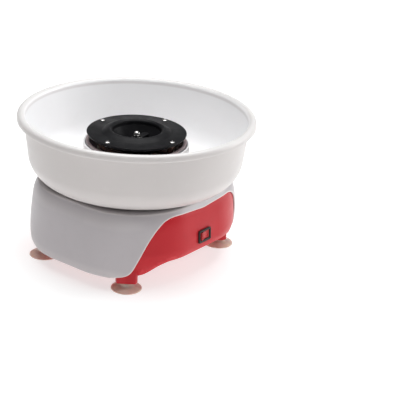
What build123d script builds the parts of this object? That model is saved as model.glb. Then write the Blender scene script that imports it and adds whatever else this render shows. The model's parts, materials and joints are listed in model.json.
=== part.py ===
from build123d import *
import os
from math import cos, radians, sin, tan

# Cotton candy machine for a table top: a two-part plastic body on four suction feet, a lift-off
# bowl, and a spinner head that a motor turns above a ring heater.
# Millimetres. +Z is up, the switch is on the -Y side, and the origin is on the table, on the
# spinner's axis.

os.makedirs("parts", exist_ok=True)

# ---------------------------------------------------------------- driving dimensions
# Body outline: a rounded rectangle that draws in towards its top and bottom.
BODY_HALF_X = 112.9
BODY_HALF_Y = 105.5
BODY_CORNER = 84.5
BODY_BOTTOM = 16.0
BODY_TOP = 91.0
BODY_PROFILE = [  # height, and how far the outline is drawn in there
    (BODY_BOTTOM, 2.2),
    (22.0, 0.6),
    (34.0, 0.0),
    (50.0, 0.6),
    (64.0, 1.7),
    (76.0, 3.0),
    (84.0, 5.3),
    (BODY_TOP, 8.8),
]
SHOULDER_FILLET = 2.5
COVER_WALL = 1.7
COVER_ROOF = 2.4

# Edge of the white cover on the front and rear, as x and z from the bottom of a lobe to the middle.
LOBE_EDGE = [(-103.5, BODY_BOTTOM - 0.1), (-93.6, 22.8), (-87.8, 37.8), (-82.4, 51.2),
             (-76.6, 63.0), (-69.0, 74.2), (-59.5, 82.0), (-46.0, 85.0), (0.0, 82.7)]

# Tub: the red lower half of the body. It tucks in under its corners and its front and rear.
TUB_WALL = 2.2
TUB_BOTTOM = 16.5
TUB_TOP = 86.0
TUB_PROFILE = [  # height, and how far the tub stands inside the body's outline there
    (TUB_BOTTOM, 11.4),
    (22.0, 9.6),
    (26.0, 7.8),
    (30.0, 5.9),
    (34.0, 4.3),
    (38.0, 3.1),
    (42.0, 2.4),
    (46.0, 2.45),
    (50.0, 2.6),
    (57.0, 3.15),
    (64.0, 3.7),
    (76.0, 5.0),
    (84.0, 7.3),
    (TUB_TOP, 8.3),
]
TUB_FLOOR = 34.2
TUB_FLOOR_THICK = 2.4
TUB_FLOOR_TOP = TUB_FLOOR + TUB_FLOOR_THICK
# Arched bottom edge of the tub, as x and z from a corner post to the flat middle.
ARCH_EDGE = [(-90.0, TUB_BOTTOM - 0.1), (-81.0, 17.0), (-74.0, 19.4), (-68.4, 24.8),
             (-62.4, 30.4), (-55.0, 33.4), (-46.0, 34.0)]

# Feet.
FOOT_X = 83.4
FOOT_Y = 62.4
POST_R = 12.3
POST_BOTTOM = 8.0
POST_DRAW_IN = 8.2
SCREW_SEAT = 20.0
CUP_R = 17.3
CUP_LIP = 1.0
CUP_LIP_WIDTH = 1.6
CUP_CROWN = 4.9
CUP_CROWN_R = 8.2
NECK_R = 4.9
NECK_TOP = 15.0

# Bowl.
BOWL_RIM_R = 135.0
BOWL_TOP = 168.0
BOWL_UNDERSIDE = BODY_TOP + 0.4
BOWL_WALL = 2.0
BOWL_BEND_R = 31.5
BOWL_FLAT_R = 91.1
BOWL_LEAN = 6.8
BOWL_LIP_DROP = 2.0
BOWL_HOLE_R = 58.4
COLLAR_TOP = 134.2
COLLAR_BEND_R = 16.0

# Tower: the round stack in the middle of the cover that carries the heater pan and the motor.
TOWER_R = 56.4
TOWER_WALL = 2.0
TOWER_TOP = 134.9
DECK_Z = 104.0
DECK_THICK = 2.4
DECK_TOP = DECK_Z + DECK_THICK
DECK_HOLE_R = 20.0

# Heater.
PAN_R = 54.2
PAN_RIM_R = 57.2
PAN_TOP = 135.8
PAN_SHEET = 0.8
PAN_FLOOR = 117.2
PAN_BEND_R = 6.8
PAN_HOLE_R = 8.0
COIL_RING_R = 41.0
COIL_TUBE_R = 3.0
COIL_Z = 131.0
COIL_END_ANGLES = (250.0, 290.0)
COIL_CLIP_ANGLES = (35.0, 145.0, 215.0, 325.0)
COIL_LEG_BOTTOM = 111.0
PAN_SCREW_RING_R = 26.0
PAN_SCREW_ANGLES = (30.0, 150.0, 270.0)

# Motor and shaft.
SHAFT_R = 2.5
SHAFT_BOTTOM = 43.5
SHAFT_TOP = 134.5
RUN_GAP = 0.05
FIT_GAP = 0.03
CAN_R = 17.9
CAN_WALL = 1.2
CAN_BOTTOM = 50.0
CAN_TOP = 98.0
BRACKET_THICK = 2.0
BRACKET_ARM_R = 38.0
BRACKET_ANGLES = (90.0, 210.0, 330.0)
MOTOR_SCREW_RING_R = 12.5

# Spinner head.
HEAD_R = 56.8
HEAD_TOP = 146.2
HEAD_PLATE = 1.5
HEAD_SLOT = 0.5
HEAD_SHEET = 1.2
WELL_R = 27.8
POT_BOTTOM = 120.8
POT_BOTTOM_R = 15.5
HUB_R = 6.5
HUB_BOTTOM = 118.9
HUB_TOP = 136.2
RIVET_RING_R = 51.0
RIVET_TURN = 1.0
DRIVE_PIN_R = 1.0
DRIVE_PIN_Z = 121.0

# Rocker switch, on the front face.
SWITCH_Z = 50.2
SWITCH_W = 21.0
SWITCH_H = 15.0
BEZEL_THICK = 2.2
ROCKER_SWING = 18.0

# Cord inlet, on the rear face.
INLET_Z = 48.0
INLET_BORE_R = 3.3

# Inner wiring.
LEAD_R = 1.0
LEAD_BEND_R = 3.0

FEET = [(x, y) for x in (-FOOT_X, FOOT_X) for y in (-FOOT_Y, FOOT_Y)]
FEET_NAMES = ["front_left", "rear_left", "front_right", "rear_right"]


def ring_points(radius, angles):
    """Points on a circle about the spinner's axis."""
    return [(radius * cos(radians(a)), radius * sin(radians(a))) for a in angles]


def draw_in(profile, z):
    """How far a profile is drawn in at a height."""
    for (z0, d0), (z1, d1) in zip(profile, profile[1:]):
        if z <= z1:
            return d0 + (d1 - d0) * (z - z0) / (z1 - z0)
    return profile[-1][1]


def body_blank(profile, extra, low, high):
    """Solid of the body's outline between two heights, drawn in by the profile and by extra."""
    levels = [low] + [z for z, _ in profile if low + 1 < z < high - 1] + [high]
    with BuildPart() as blank:
        for z in levels:
            inset = draw_in(profile, z) + extra
            with BuildSketch(Plane.XY.offset(z)):
                RectangleRounded(
                    2 * (BODY_HALF_X - inset), 2 * (BODY_HALF_Y - inset), BODY_CORNER - inset
                )
        loft()
    return blank.part


def edge_prism(points):
    """Prism right through the body, front to rear, under a symmetrical edge drawn by its left half."""
    right = [(-x, z) for x, z in reversed(points)]
    flat_middle = points[-1][0] < 0
    reach = right[-1][0]
    below = -5
    with BuildPart() as prism:
        with BuildSketch(Plane.XZ):
            with BuildLine():
                left_edge = Spline(*points, tangents=((1, 0.1), (1, 0)))
                if flat_middle:
                    Line(points[-1], right[0])
                right_edge = Spline(*right, tangents=((1, 0), (1, -0.1)))
                Polyline(right_edge @ 1, (reach, below), (-reach, below), left_edge @ 0)
            make_face()
        extrude(amount=2 * BODY_HALF_Y, both=True)
    return prism.part


def washer(outer, inner, low, high, points=((0, 0),)):
    """Rings or discs between two heights, at each of the points."""
    with BuildPart() as rings:
        with BuildSketch(Plane.XY.offset(low)):
            with Locations(*points):
                Circle(outer)
                if inner > 0:
                    Circle(inner, mode=Mode.SUBTRACT)
        extrude(amount=high - low)
    return rings.part


def screws(points, seat_z, head_r, head_h, shank_r, tip_z):
    """Cross-head screws at the points: heads seated at seat_z, shanks from there to tip_z."""
    head_side = 1 if tip_z < seat_z else -1
    seat = Plane((0, 0, seat_z), x_dir=(1, 0, 0), z_dir=(0, 0, head_side))
    places = [(x, y * head_side) for x, y in points]
    with BuildPart() as group:
        with BuildSketch(seat):
            with Locations(*places):
                Circle(head_r)
        extrude(amount=head_h)
        fillet(group.edges().group_by(Axis.Z)[-1 if head_side > 0 else 0], head_h * 0.4)
        with BuildSketch(seat):
            with Locations(*places):
                Circle(shank_r)
        extrude(amount=-abs(seat_z - tip_z))
        with BuildSketch(seat.offset(head_h)):
            with Locations(*places):
                Rectangle(head_r * 1.1, head_r * 0.24)
                Rectangle(head_r * 0.24, head_r * 1.1)
        extrude(amount=-head_h * 0.5, mode=Mode.SUBTRACT)
    return group.part


def leads(routes):
    """Insulated wires, each a round tube along straight runs joined by arcs."""
    with BuildPart() as group:
        for route in routes:
            with BuildLine() as path:
                FilletPolyline(*route, radius=LEAD_BEND_R)
            with BuildSketch(Plane(path.line @ 0, z_dir=path.line % 0)):
                Circle(LEAD_R)
            sweep(path=path.line)
    return group.part


# ---------------------------------------------------------------- body
# White cover: a saddle over the tub, with a lobe down each side and the tower in its middle.
cover_outer = body_blank(BODY_PROFILE, 0, BODY_BOTTOM, BODY_TOP)
cover_inner = body_blank(BODY_PROFILE, COVER_WALL, BODY_BOTTOM, BODY_TOP - COVER_ROOF)
lobe_cut = edge_prism(LOBE_EDGE)
tower_bore = washer(TOWER_R - TOWER_WALL, 0, BODY_TOP - COVER_ROOF - 1, TOWER_TOP + 1)
pan_screw_points = ring_points(PAN_SCREW_RING_R, PAN_SCREW_ANGLES)
bracket_points = ring_points(BRACKET_ARM_R, BRACKET_ANGLES)
coil_end_points = ring_points(COIL_RING_R, COIL_END_ANGLES)
BOSS_R = 3.7
BOSS_BOTTOM = TUB_FLOOR_TOP + 0.2
BOSS_HOLE_R = 2.05
BOSS_HOLE_DEPTH = 15.0
COIL_LEG_HOLE_R = COIL_TUBE_R + 1.5
PAN_BOSS_R = 4.0
PAN_SCREW_HOLE_R = 1.3
BRACKET_BOSS_R = 4.5
BRACKET_BOSS_H = 6.5
BRACKET_SCREW_HOLE_R = 1.55
with BuildPart() as upper_housing:
    add(cover_outer)
    fillet(upper_housing.edges().group_by(Axis.Z)[-1], SHOULDER_FILLET)
    add(cover_inner, mode=Mode.SUBTRACT)
    with BuildSketch(Plane.XY.offset(BODY_TOP - COVER_ROOF)):
        Circle(TOWER_R)
    extrude(amount=TOWER_TOP - BODY_TOP + COVER_ROOF)
    add(tower_bore, mode=Mode.SUBTRACT)
    with BuildSketch(Plane.XY.offset(DECK_Z)):
        Circle(TOWER_R - TOWER_WALL)
        Circle(DECK_HOLE_R, mode=Mode.SUBTRACT)
        with Locations(*coil_end_points):
            Circle(COIL_LEG_HOLE_R, mode=Mode.SUBTRACT)
    extrude(amount=DECK_THICK)
    with BuildSketch(Plane.XY.offset(DECK_TOP)):
        with Locations(*pan_screw_points):
            Circle(PAN_BOSS_R)
            Circle(PAN_SCREW_HOLE_R, mode=Mode.SUBTRACT)
    extrude(amount=PAN_FLOOR - DECK_TOP)
    with BuildSketch(Plane.XY.offset(DECK_TOP)):
        with Locations(*bracket_points):
            Circle(BRACKET_BOSS_R)
    extrude(amount=BRACKET_BOSS_H)
    with BuildSketch(Plane.XY.offset(DECK_Z)):
        with Locations(*bracket_points):
            Circle(BRACKET_SCREW_HOLE_R)
    extrude(amount=BRACKET_BOSS_H + 1, mode=Mode.SUBTRACT)
    add(lobe_cut, mode=Mode.SUBTRACT)
    with BuildSketch(Plane.XY.offset(BOSS_BOTTOM)):
        with Locations(*FEET):
            Circle(BOSS_R)
    extrude(amount=BODY_TOP - COVER_ROOF - BOSS_BOTTOM)
    with BuildSketch(Plane.XY.offset(BOSS_BOTTOM)):
        with Locations(*FEET):
            Circle(BOSS_HOLE_R)
    extrude(amount=BOSS_HOLE_DEPTH, mode=Mode.SUBTRACT)
upper_housing.part.label = "upper_housing"
export_step(upper_housing.part, "parts/upper_housing.step")

# Red tub: the walls behind the cover, the floor, and a post at each corner.
tub_outer = body_blank(TUB_PROFILE, 0, TUB_BOTTOM, TUB_TOP)
tub_inner = body_blank(TUB_PROFILE, TUB_WALL, TUB_FLOOR_TOP, TUB_TOP)
tub_recess = body_blank(TUB_PROFILE, TUB_WALL, TUB_BOTTOM, TUB_FLOOR)
arch_cut = edge_prism(ARCH_EDGE)
with BuildPart() as posts:
    with BuildSketch(Plane.XY.offset(POST_BOTTOM)):
        with Locations(*FEET):
            Circle(POST_R)
        RectangleRounded(
            2 * (BODY_HALF_X - POST_DRAW_IN),
            2 * (BODY_HALF_Y - POST_DRAW_IN),
            BODY_CORNER - POST_DRAW_IN,
            mode=Mode.INTERSECT,
        )
    extrude(amount=TUB_FLOOR_TOP - POST_BOTTOM)
    fillet(posts.edges().group_by(Axis.Z)[0], 0.8)

# Flat seats for the switch and the cord inlet, just clear of the tub's curved faces.
SEAT_GAP = 0.15
SLOPE_SPAN = 5.0
seat_ends = [draw_in(TUB_PROFILE, SWITCH_Z + step) for step in (-SLOPE_SPAN, SLOPE_SPAN)]
face_slope = (seat_ends[1] - seat_ends[0]) / (2 * SLOPE_SPAN)
switch_y = BODY_HALF_Y - draw_in(TUB_PROFILE, SWITCH_Z) + SEAT_GAP
switch_plane = Plane((0, -switch_y, SWITCH_Z), x_dir=(1, 0, 0), z_dir=(0, -1, face_slope))
inlet_y = BODY_HALF_Y - draw_in(TUB_PROFILE, INLET_Z) + SEAT_GAP
inlet_plane = Plane((0, inlet_y, INLET_Z), x_dir=(-1, 0, 0), z_dir=(0, 1, face_slope))
SWITCH_BODY_W = 18.8
SWITCH_BODY_H = 12.6
SWITCH_BODY_DEPTH = 18.0
INLET_NECK_R = 5.4
INLET_FLANGE_R = 7.5
INLET_FLANGE = 1.5
BOARD_X = -62.0
BOARD_W = 46.0
BOARD_D = 34.0
BOARD_Z = 42.0
BOARD_THICK = 1.6
BOARD_BOSS_R = 3.0
BOARD_BOSS_HOLE_R = 1.35
VENT_RING_R = 29.0
VENT_COUNT = 14
VENT_LENGTH = 14.0
VENT_WIDTH = 3.0
SCREW_HEAD_HOLE_R = 4.2
SCREW_SHANK_HOLE_R = 2.3
SEAT_CUT_DEPTH = 4.0
board_corners = [(BOARD_X + dx, dy) for dx in (-19.0, 19.0) for dy in (-13.0, 13.0)]
with BuildPart() as lower_housing:
    add(tub_outer)
    add(tub_inner, mode=Mode.SUBTRACT)
    add(tub_recess, mode=Mode.SUBTRACT)
    add(arch_cut, mode=Mode.SUBTRACT)
    add(posts.part)
    with BuildSketch(Plane.XY.offset(TUB_FLOOR)):
        with PolarLocations(VENT_RING_R, VENT_COUNT):
            SlotOverall(VENT_LENGTH, VENT_WIDTH)
    extrude(amount=TUB_FLOOR_THICK, mode=Mode.SUBTRACT)
    with BuildSketch(Plane.XY.offset(POST_BOTTOM)):
        with Locations(*FEET):
            Circle(NECK_R + 0.1)
    extrude(amount=NECK_TOP + 0.5 - POST_BOTTOM, mode=Mode.SUBTRACT)
    with BuildSketch(Plane.XY.offset(POST_BOTTOM)):
        with Locations(*FEET):
            Circle(SCREW_HEAD_HOLE_R)
    extrude(amount=SCREW_SEAT - POST_BOTTOM, mode=Mode.SUBTRACT)
    with BuildSketch(Plane.XY.offset(POST_BOTTOM)):
        with Locations(*FEET):
            Circle(SCREW_SHANK_HOLE_R)
    extrude(amount=TUB_FLOOR_TOP - POST_BOTTOM, mode=Mode.SUBTRACT)
    with BuildSketch(Plane.XY.offset(TUB_FLOOR_TOP)):
        with Locations(*board_corners):
            Circle(BOARD_BOSS_R)
            Circle(BOARD_BOSS_HOLE_R, mode=Mode.SUBTRACT)
    extrude(amount=BOARD_Z - TUB_FLOOR_TOP)
    with BuildSketch(switch_plane):
        Rectangle(SWITCH_BODY_W + 0.5, SWITCH_BODY_H + 0.5)
    extrude(amount=SEAT_CUT_DEPTH, both=True, mode=Mode.SUBTRACT)
    with BuildSketch(inlet_plane):
        Circle(INLET_NECK_R + 0.1)
    extrude(amount=SEAT_CUT_DEPTH, both=True, mode=Mode.SUBTRACT)
lower_housing.part.label = "lower_housing"
export_step(lower_housing.part, "parts/lower_housing.step")

# Screws that come up through the posts and pull the cover down onto the tub.
housing_screws = screws(FEET, SCREW_SEAT, 3.7, 3.0, 2.0, 50.0)
housing_screws.label = "housing_screws"
export_step(housing_screws, "parts/housing_screws.step")

# Suction cups, one pressed into each post.
for (foot_x, foot_y), foot_name in zip(FEET, FEET_NAMES):
    with BuildPart() as cup:
        with BuildSketch(Plane((foot_x, foot_y, 0), x_dir=(1, 0, 0), z_dir=(0, -1, 0))):
            with BuildLine():
                Line((CUP_R - CUP_LIP_WIDTH, 0), (CUP_R, 0))
                Line((CUP_R, 0), (CUP_R, CUP_LIP))
                ThreePointArc((CUP_R, CUP_LIP), (12.4, 2.9), (CUP_CROWN_R, CUP_CROWN))
                Polyline(
                    (CUP_CROWN_R, CUP_CROWN),
                    (CUP_CROWN_R - 0.8, POST_BOTTOM - 0.1),
                    (NECK_R, POST_BOTTOM - 0.1),
                    (NECK_R, NECK_TOP),
                    (0, NECK_TOP),
                    (0, 3.0),
                )
                ThreePointArc((0, 3.0), (8.6, 2.2), (CUP_R - CUP_LIP_WIDTH, 0))
            make_face()
        revolve(axis=Axis((foot_x, foot_y, 0), (0, 0, 1)))
    cup.part.label = "suction_cup_" + foot_name
    export_step(cup.part, "parts/suction_cup_" + foot_name + ".step")

# ---------------------------------------------------------------- bowl
# One moulded shell: rolled rim, leaning wall, flat floor, and a collar round the centre hole.
bend_centre = (BOWL_FLAT_R, BOWL_UNDERSIDE + BOWL_BEND_R)
collar_centre = (BOWL_HOLE_R + COLLAR_BEND_R, BOWL_UNDERSIDE + COLLAR_BEND_R)
collar_inner_r = BOWL_HOLE_R + BOWL_WALL
floor_top = BOWL_UNDERSIDE + BOWL_WALL
edge_r = BOWL_WALL / 2
wall_sweep = 90 - BOWL_LEAN
RIM_RISE = 4.65
with BuildPart() as bowl:
    with BuildSketch(Plane.XZ):
        with BuildLine():
            collar_out = Line((BOWL_HOLE_R, COLLAR_TOP - edge_r), (BOWL_HOLE_R, collar_centre[1]))
            CenterArc(collar_centre, COLLAR_BEND_R, 180, 90)
            Line((collar_centre[0], BOWL_UNDERSIDE), (BOWL_FLAT_R, BOWL_UNDERSIDE))
            under_bend = CenterArc(bend_centre, BOWL_BEND_R, 270, wall_sweep)
            wall_run = BOWL_TOP - RIM_RISE - (under_bend @ 1).Y
            wall_top = (under_bend @ 1) + Vector(wall_run * tan(radians(BOWL_LEAN)), wall_run)
            Line(under_bend @ 1, wall_top)
            lip_inner_x = BOWL_RIM_R - BOWL_WALL
            lip_mid = (wall_top.X + lip_inner_x) / 2
            lip_gap = (lip_inner_x - wall_top.X) / 2
            ThreePointArc(wall_top, (lip_mid, wall_top.Y + lip_gap), (lip_inner_x, wall_top.Y))
            lip_end = wall_top.Y - BOWL_LIP_DROP
            Line((lip_inner_x, wall_top.Y), (lip_inner_x, lip_end))
            lip_middle = (BOWL_RIM_R - edge_r, lip_end - edge_r)
            ThreePointArc((lip_inner_x, lip_end), lip_middle, (BOWL_RIM_R, lip_end))
            Line((BOWL_RIM_R, lip_end), (BOWL_RIM_R, wall_top.Y))
            inner_top = (wall_top.X - BOWL_WALL, wall_top.Y)
            ThreePointArc((BOWL_RIM_R, wall_top.Y), (lip_mid, BOWL_TOP), inner_top)
            inner_bend = CenterArc(bend_centre, BOWL_BEND_R - BOWL_WALL, 270, wall_sweep)
            Line(inner_top, inner_bend @ 1)
            Line((BOWL_FLAT_R, floor_top), (collar_centre[0], floor_top))
            CenterArc(collar_centre, COLLAR_BEND_R - BOWL_WALL, 180, 90)
            collar_in = Line((collar_inner_r, collar_centre[1]), (collar_inner_r, COLLAR_TOP - edge_r))
            ThreePointArc(collar_in @ 1, (BOWL_HOLE_R + edge_r, COLLAR_TOP), collar_out @ 0)
        make_face()
    revolve(axis=Axis.Z)
bowl.part.label = "bowl"
export_step(bowl.part, "parts/bowl.step")

# ---------------------------------------------------------------- heater
# Pressed steel pan that hangs in the tower by its rim.
PAN_FLOOR_TOP = PAN_FLOOR + PAN_SHEET
PAN_SCREW_CLEAR_R = 1.6
BUSH_OUTER_R = COIL_TUBE_R + 1.2
pan_bend_centre = (PAN_R - PAN_BEND_R, PAN_FLOOR + PAN_BEND_R)
with BuildPart() as heater_pan:
    with BuildSketch(Plane.XZ):
        with BuildLine():
            Polyline(
                (PAN_RIM_R, PAN_TOP - PAN_SHEET),
                (PAN_R, PAN_TOP - PAN_SHEET),
                (PAN_R, pan_bend_centre[1]),
            )
            CenterArc(pan_bend_centre, PAN_BEND_R, 0, -90)
            Polyline(
                (pan_bend_centre[0], PAN_FLOOR),
                (PAN_HOLE_R, PAN_FLOOR),
                (PAN_HOLE_R, PAN_FLOOR_TOP),
                (pan_bend_centre[0], PAN_FLOOR_TOP),
            )
            CenterArc(pan_bend_centre, PAN_BEND_R - PAN_SHEET, 0, -90)
            Polyline(
                (PAN_R - PAN_SHEET, pan_bend_centre[1]),
                (PAN_R - PAN_SHEET, PAN_TOP),
                (PAN_RIM_R, PAN_TOP),
                (PAN_RIM_R, PAN_TOP - PAN_SHEET),
            )
        make_face()
    revolve(axis=Axis.Z)
    with BuildSketch(Plane.XY.offset(PAN_FLOOR)):
        with Locations(*pan_screw_points):
            Circle(PAN_SCREW_CLEAR_R)
        with Locations(*coil_end_points):
            Circle(BUSH_OUTER_R + RUN_GAP)
    extrude(amount=PAN_SHEET, mode=Mode.SUBTRACT)
heater_pan.part.label = "heater_pan"
export_step(heater_pan.part, "parts/heater_pan.step")

pan_screws = screws(pan_screw_points, PAN_FLOOR_TOP, 3.0, 1.8, 1.25, 108.5)
pan_screws.label = "pan_screws"
export_step(pan_screws, "parts/pan_screws.step")

# Tubular heating element: most of a ring, with a leg down through the pan at each end.
coil_arc = 360 - (COIL_END_ANGLES[1] - COIL_END_ANGLES[0])
coil_start = Plane.XZ.rotated((0, 0, COIL_END_ANGLES[1]))
with BuildPart() as heating_coil:
    with BuildSketch(coil_start):
        with Locations((COIL_RING_R, COIL_Z)):
            Circle(COIL_TUBE_R)
    revolve(axis=Axis.Z, revolution_arc=coil_arc)
    with Locations(*[(x, y, COIL_Z) for x, y in coil_end_points]):
        Sphere(COIL_TUBE_R)
    with BuildSketch(Plane.XY.offset(COIL_LEG_BOTTOM)):
        with Locations(*coil_end_points):
            Circle(COIL_TUBE_R)
    extrude(amount=COIL_Z - COIL_LEG_BOTTOM)
heating_coil.part.label = "heating_coil"
export_step(heating_coil.part, "parts/heating_coil.step")

# Ceramic posts with a saddle for the element.
CLIP_R = 4.5
with BuildPart() as coil_clips:
    with BuildSketch(Plane.XY.offset(PAN_FLOOR_TOP)):
        with Locations(*ring_points(COIL_RING_R, COIL_CLIP_ANGLES)):
            Circle(CLIP_R)
    extrude(amount=COIL_Z - PAN_FLOOR_TOP)
    with BuildSketch(Plane.XZ):
        with Locations((COIL_RING_R, COIL_Z)):
            Circle(COIL_TUBE_R + RUN_GAP)
    revolve(axis=Axis.Z, mode=Mode.SUBTRACT)
coil_clips.part.label = "coil_clips"
export_step(coil_clips.part, "parts/coil_clips.step")

# Ceramic bushes that insulate the legs where they pass the pan.
coil_bushes = washer(BUSH_OUTER_R, COIL_TUBE_R + RUN_GAP, 113.0, 121.0, coil_end_points)
coil_bushes.label = "coil_bushes"
export_step(coil_bushes, "parts/coil_bushes.step")

# Snap-disc thermostat and thermal fuse, both against the underside of the pan.
SENSOR_X = 38.0
THERMOSTAT_TOP = PAN_FLOOR - 0.1
THERMOSTAT_DISC = 2.0
THERMOSTAT_CASE = 4.0
BLADE_THICK = 0.8
BLADE_WIDTH = 4.8
with BuildPart() as thermostat:
    with BuildSketch(Plane.XY.offset(THERMOSTAT_TOP)):
        with Locations((SENSOR_X, 0)):
            Circle(8)
    extrude(amount=-THERMOSTAT_DISC)
    with BuildSketch(Plane.XY.offset(THERMOSTAT_TOP - THERMOSTAT_DISC)):
        with Locations((SENSOR_X, 0)):
            Circle(6.5)
    extrude(amount=-THERMOSTAT_CASE)
    with BuildSketch(Plane.XY.offset(THERMOSTAT_TOP - THERMOSTAT_DISC - THERMOSTAT_CASE)):
        with Locations((SENSOR_X - 3.5, 0), (SENSOR_X + 3.5, 0)):
            Rectangle(BLADE_THICK, BLADE_WIDTH)
    extrude(amount=-3)
thermostat.part.label = "thermostat"
export_step(thermostat.part, "parts/thermostat.step")

FUSE_R = 2.1
FUSE_HALF = 6.0
FUSE_LEAD_R = 0.5
FUSE_LEAD_HALF = 12.0
fuse_plane = Plane((-SENSOR_X, 0, PAN_FLOOR - FUSE_R - 0.2), x_dir=(1, 0, 0), z_dir=(0, 1, 0))
with BuildPart() as thermal_fuse:
    with BuildSketch(fuse_plane):
        Circle(FUSE_R)
    extrude(amount=FUSE_HALF, both=True)
    with BuildSketch(fuse_plane):
        Circle(FUSE_LEAD_R)
    extrude(amount=FUSE_LEAD_HALF, both=True)
thermal_fuse.part.label = "thermal_fuse"
export_step(thermal_fuse.part, "parts/thermal_fuse.step")

# ---------------------------------------------------------------- motor
BOSS_TOP = CAN_TOP + 3
BUSH_R = 4.0
BRACKET_TOP = CAN_TOP + BRACKET_THICK
motor_screw_points = [(-MOTOR_SCREW_RING_R, 0), (MOTOR_SCREW_RING_R, 0)]
with BuildPart() as motor_can:
    with BuildSketch(Plane.XY.offset(CAN_BOTTOM)):
        Circle(CAN_R)
    extrude(amount=CAN_TOP - CAN_BOTTOM)
    fillet(motor_can.edges().group_by(Axis.Z)[-1], 1.0)
    with BuildSketch(Plane.XY.offset(CAN_BOTTOM)):
        Circle(CAN_R - CAN_WALL)
    extrude(amount=CAN_TOP - CAN_WALL - CAN_BOTTOM, mode=Mode.SUBTRACT)
    with BuildSketch(Plane.XY.offset(CAN_TOP)):
        Circle(6.5)
    extrude(amount=BOSS_TOP - CAN_TOP)
    with BuildSketch(Plane.XY.offset(CAN_TOP - CAN_WALL)):
        Circle(BUSH_R)
        with Locations(*motor_screw_points):
            Circle(1.3)
    extrude(amount=10, mode=Mode.SUBTRACT)
motor_can.part.label = "motor_can"
export_step(motor_can.part, "parts/motor_can.step")

END_CAP_BOTTOM = CAN_BOTTOM - 4
with BuildPart() as motor_end_cap:
    with BuildSketch(Plane.XY.offset(END_CAP_BOTTOM)):
        Circle(CAN_R - 0.3)
    extrude(amount=CAN_BOTTOM - END_CAP_BOTTOM)
    with BuildSketch(Plane.XY.offset(CAN_BOTTOM)):
        Circle(CAN_R - CAN_WALL - 0.1)
        Circle(12, mode=Mode.SUBTRACT)
    extrude(amount=2)
    with BuildSketch(Plane.XY.offset(END_CAP_BOTTOM)):
        Circle(BUSH_R)
        with Locations((0, -10), (0, 10)):
            Rectangle(5.0, 1.0)
    extrude(amount=CAN_BOTTOM - END_CAP_BOTTOM, mode=Mode.SUBTRACT)
motor_end_cap.part.label = "motor_end_cap"
export_step(motor_end_cap.part, "parts/motor_end_cap.step")

MOTOR_TERMINAL_BOTTOM = 40.5
with BuildPart() as motor_terminals:
    with BuildSketch(Plane.XY.offset(MOTOR_TERMINAL_BOTTOM)):
        with Locations((0, -10), (0, 10)):
            Rectangle(4.8, 0.8)
    extrude(amount=CAN_BOTTOM - MOTOR_TERMINAL_BOTTOM)
motor_terminals.part.label = "motor_terminals"
export_step(motor_terminals.part, "parts/motor_terminals.step")

MAGNET_BOTTOM = 60.0
MAGNET_TOP = 92.0
with BuildPart() as motor_magnets:
    with BuildSketch(Plane.XY.offset(MAGNET_BOTTOM)):
        Circle(CAN_R - CAN_WALL - 0.1)
        Circle(13.9, mode=Mode.SUBTRACT)
        Rectangle(60, 13, mode=Mode.SUBTRACT)
    extrude(amount=MAGNET_TOP - MAGNET_BOTTOM)
motor_magnets.part.label = "motor_magnets"
export_step(motor_magnets.part, "parts/motor_magnets.step")

BUSH_FIT_R = BUSH_R - FIT_GAP
front_bush = washer(BUSH_FIT_R, SHAFT_R + RUN_GAP, CAN_TOP - CAN_WALL, BOSS_TOP)
front_bush.label = "front_bush"
export_step(front_bush, "parts/front_bush.step")
rear_bush = washer(BUSH_FIT_R, SHAFT_R + RUN_GAP, END_CAP_BOTTOM, CAN_BOTTOM)
rear_bush.label = "rear_bush"
export_step(rear_bush, "parts/rear_bush.step")

COMMUTATOR_R = 4.5
BRUSH_LENGTH = 5.0
with BuildPart() as carbon_brushes:
    with BuildSketch(Plane.XY.offset(53.6)):
        for side in (-1, 1):
            with Locations((side * (COMMUTATOR_R + 0.1 + BRUSH_LENGTH / 2), 0)):
                Rectangle(BRUSH_LENGTH, 4)
    extrude(amount=4)
carbon_brushes.part.label = "carbon_brushes"
export_step(carbon_brushes.part, "parts/carbon_brushes.step")

# Steel bracket: three arms, hung under the deck on rubber.
with BuildPart() as motor_bracket:
    with BuildSketch(Plane.XY.offset(CAN_TOP)):
        Circle(19)
        for angle in BRACKET_ANGLES:
            with Locations(*ring_points(BRACKET_ARM_R / 2, [angle])):
                Rectangle(BRACKET_ARM_R, 14, rotation=angle)
            with Locations(*ring_points(BRACKET_ARM_R, [angle])):
                Circle(7)
        Circle(6.6, mode=Mode.SUBTRACT)
        with Locations(*bracket_points):
            Circle(1.7, mode=Mode.SUBTRACT)
        with Locations(*motor_screw_points):
            Circle(1.5, mode=Mode.SUBTRACT)
    extrude(amount=BRACKET_THICK)
motor_bracket.part.label = "motor_bracket"
export_step(motor_bracket.part, "parts/motor_bracket.step")

rubber_mounts = washer(6.0, 1.7, BRACKET_TOP, DECK_Z, bracket_points)
rubber_mounts.label = "rubber_mounts"
export_step(rubber_mounts, "parts/rubber_mounts.step")

bracket_screws = screws(bracket_points, CAN_TOP, 3.0, 2.2, 1.5, 110.5)
bracket_screws.label = "bracket_screws"
export_step(bracket_screws, "parts/bracket_screws.step")

motor_screws = screws(motor_screw_points, BRACKET_TOP, 2.6, 1.8, 1.25, CAN_TOP - CAN_WALL - 1)
motor_screws.label = "motor_screws"
export_step(motor_screws, "parts/motor_screws.step")

# ---------------------------------------------------------------- rotor
with BuildPart() as rotor_shaft:
    with BuildSketch(Plane.XY.offset(SHAFT_BOTTOM)):
        Circle(SHAFT_R)
    extrude(amount=SHAFT_TOP - SHAFT_BOTTOM)
    chamfer(rotor_shaft.edges().group_by(Axis.Z)[-1], 0.6)
    with BuildSketch(Plane.YZ):
        with Locations((0, DRIVE_PIN_Z)):
            Circle(DRIVE_PIN_R + 0.02)
    extrude(amount=SHAFT_R + 1, both=True, mode=Mode.SUBTRACT)
rotor_shaft.part.label = "rotor_shaft"
export_step(rotor_shaft.part, "parts/rotor_shaft.step")

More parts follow.
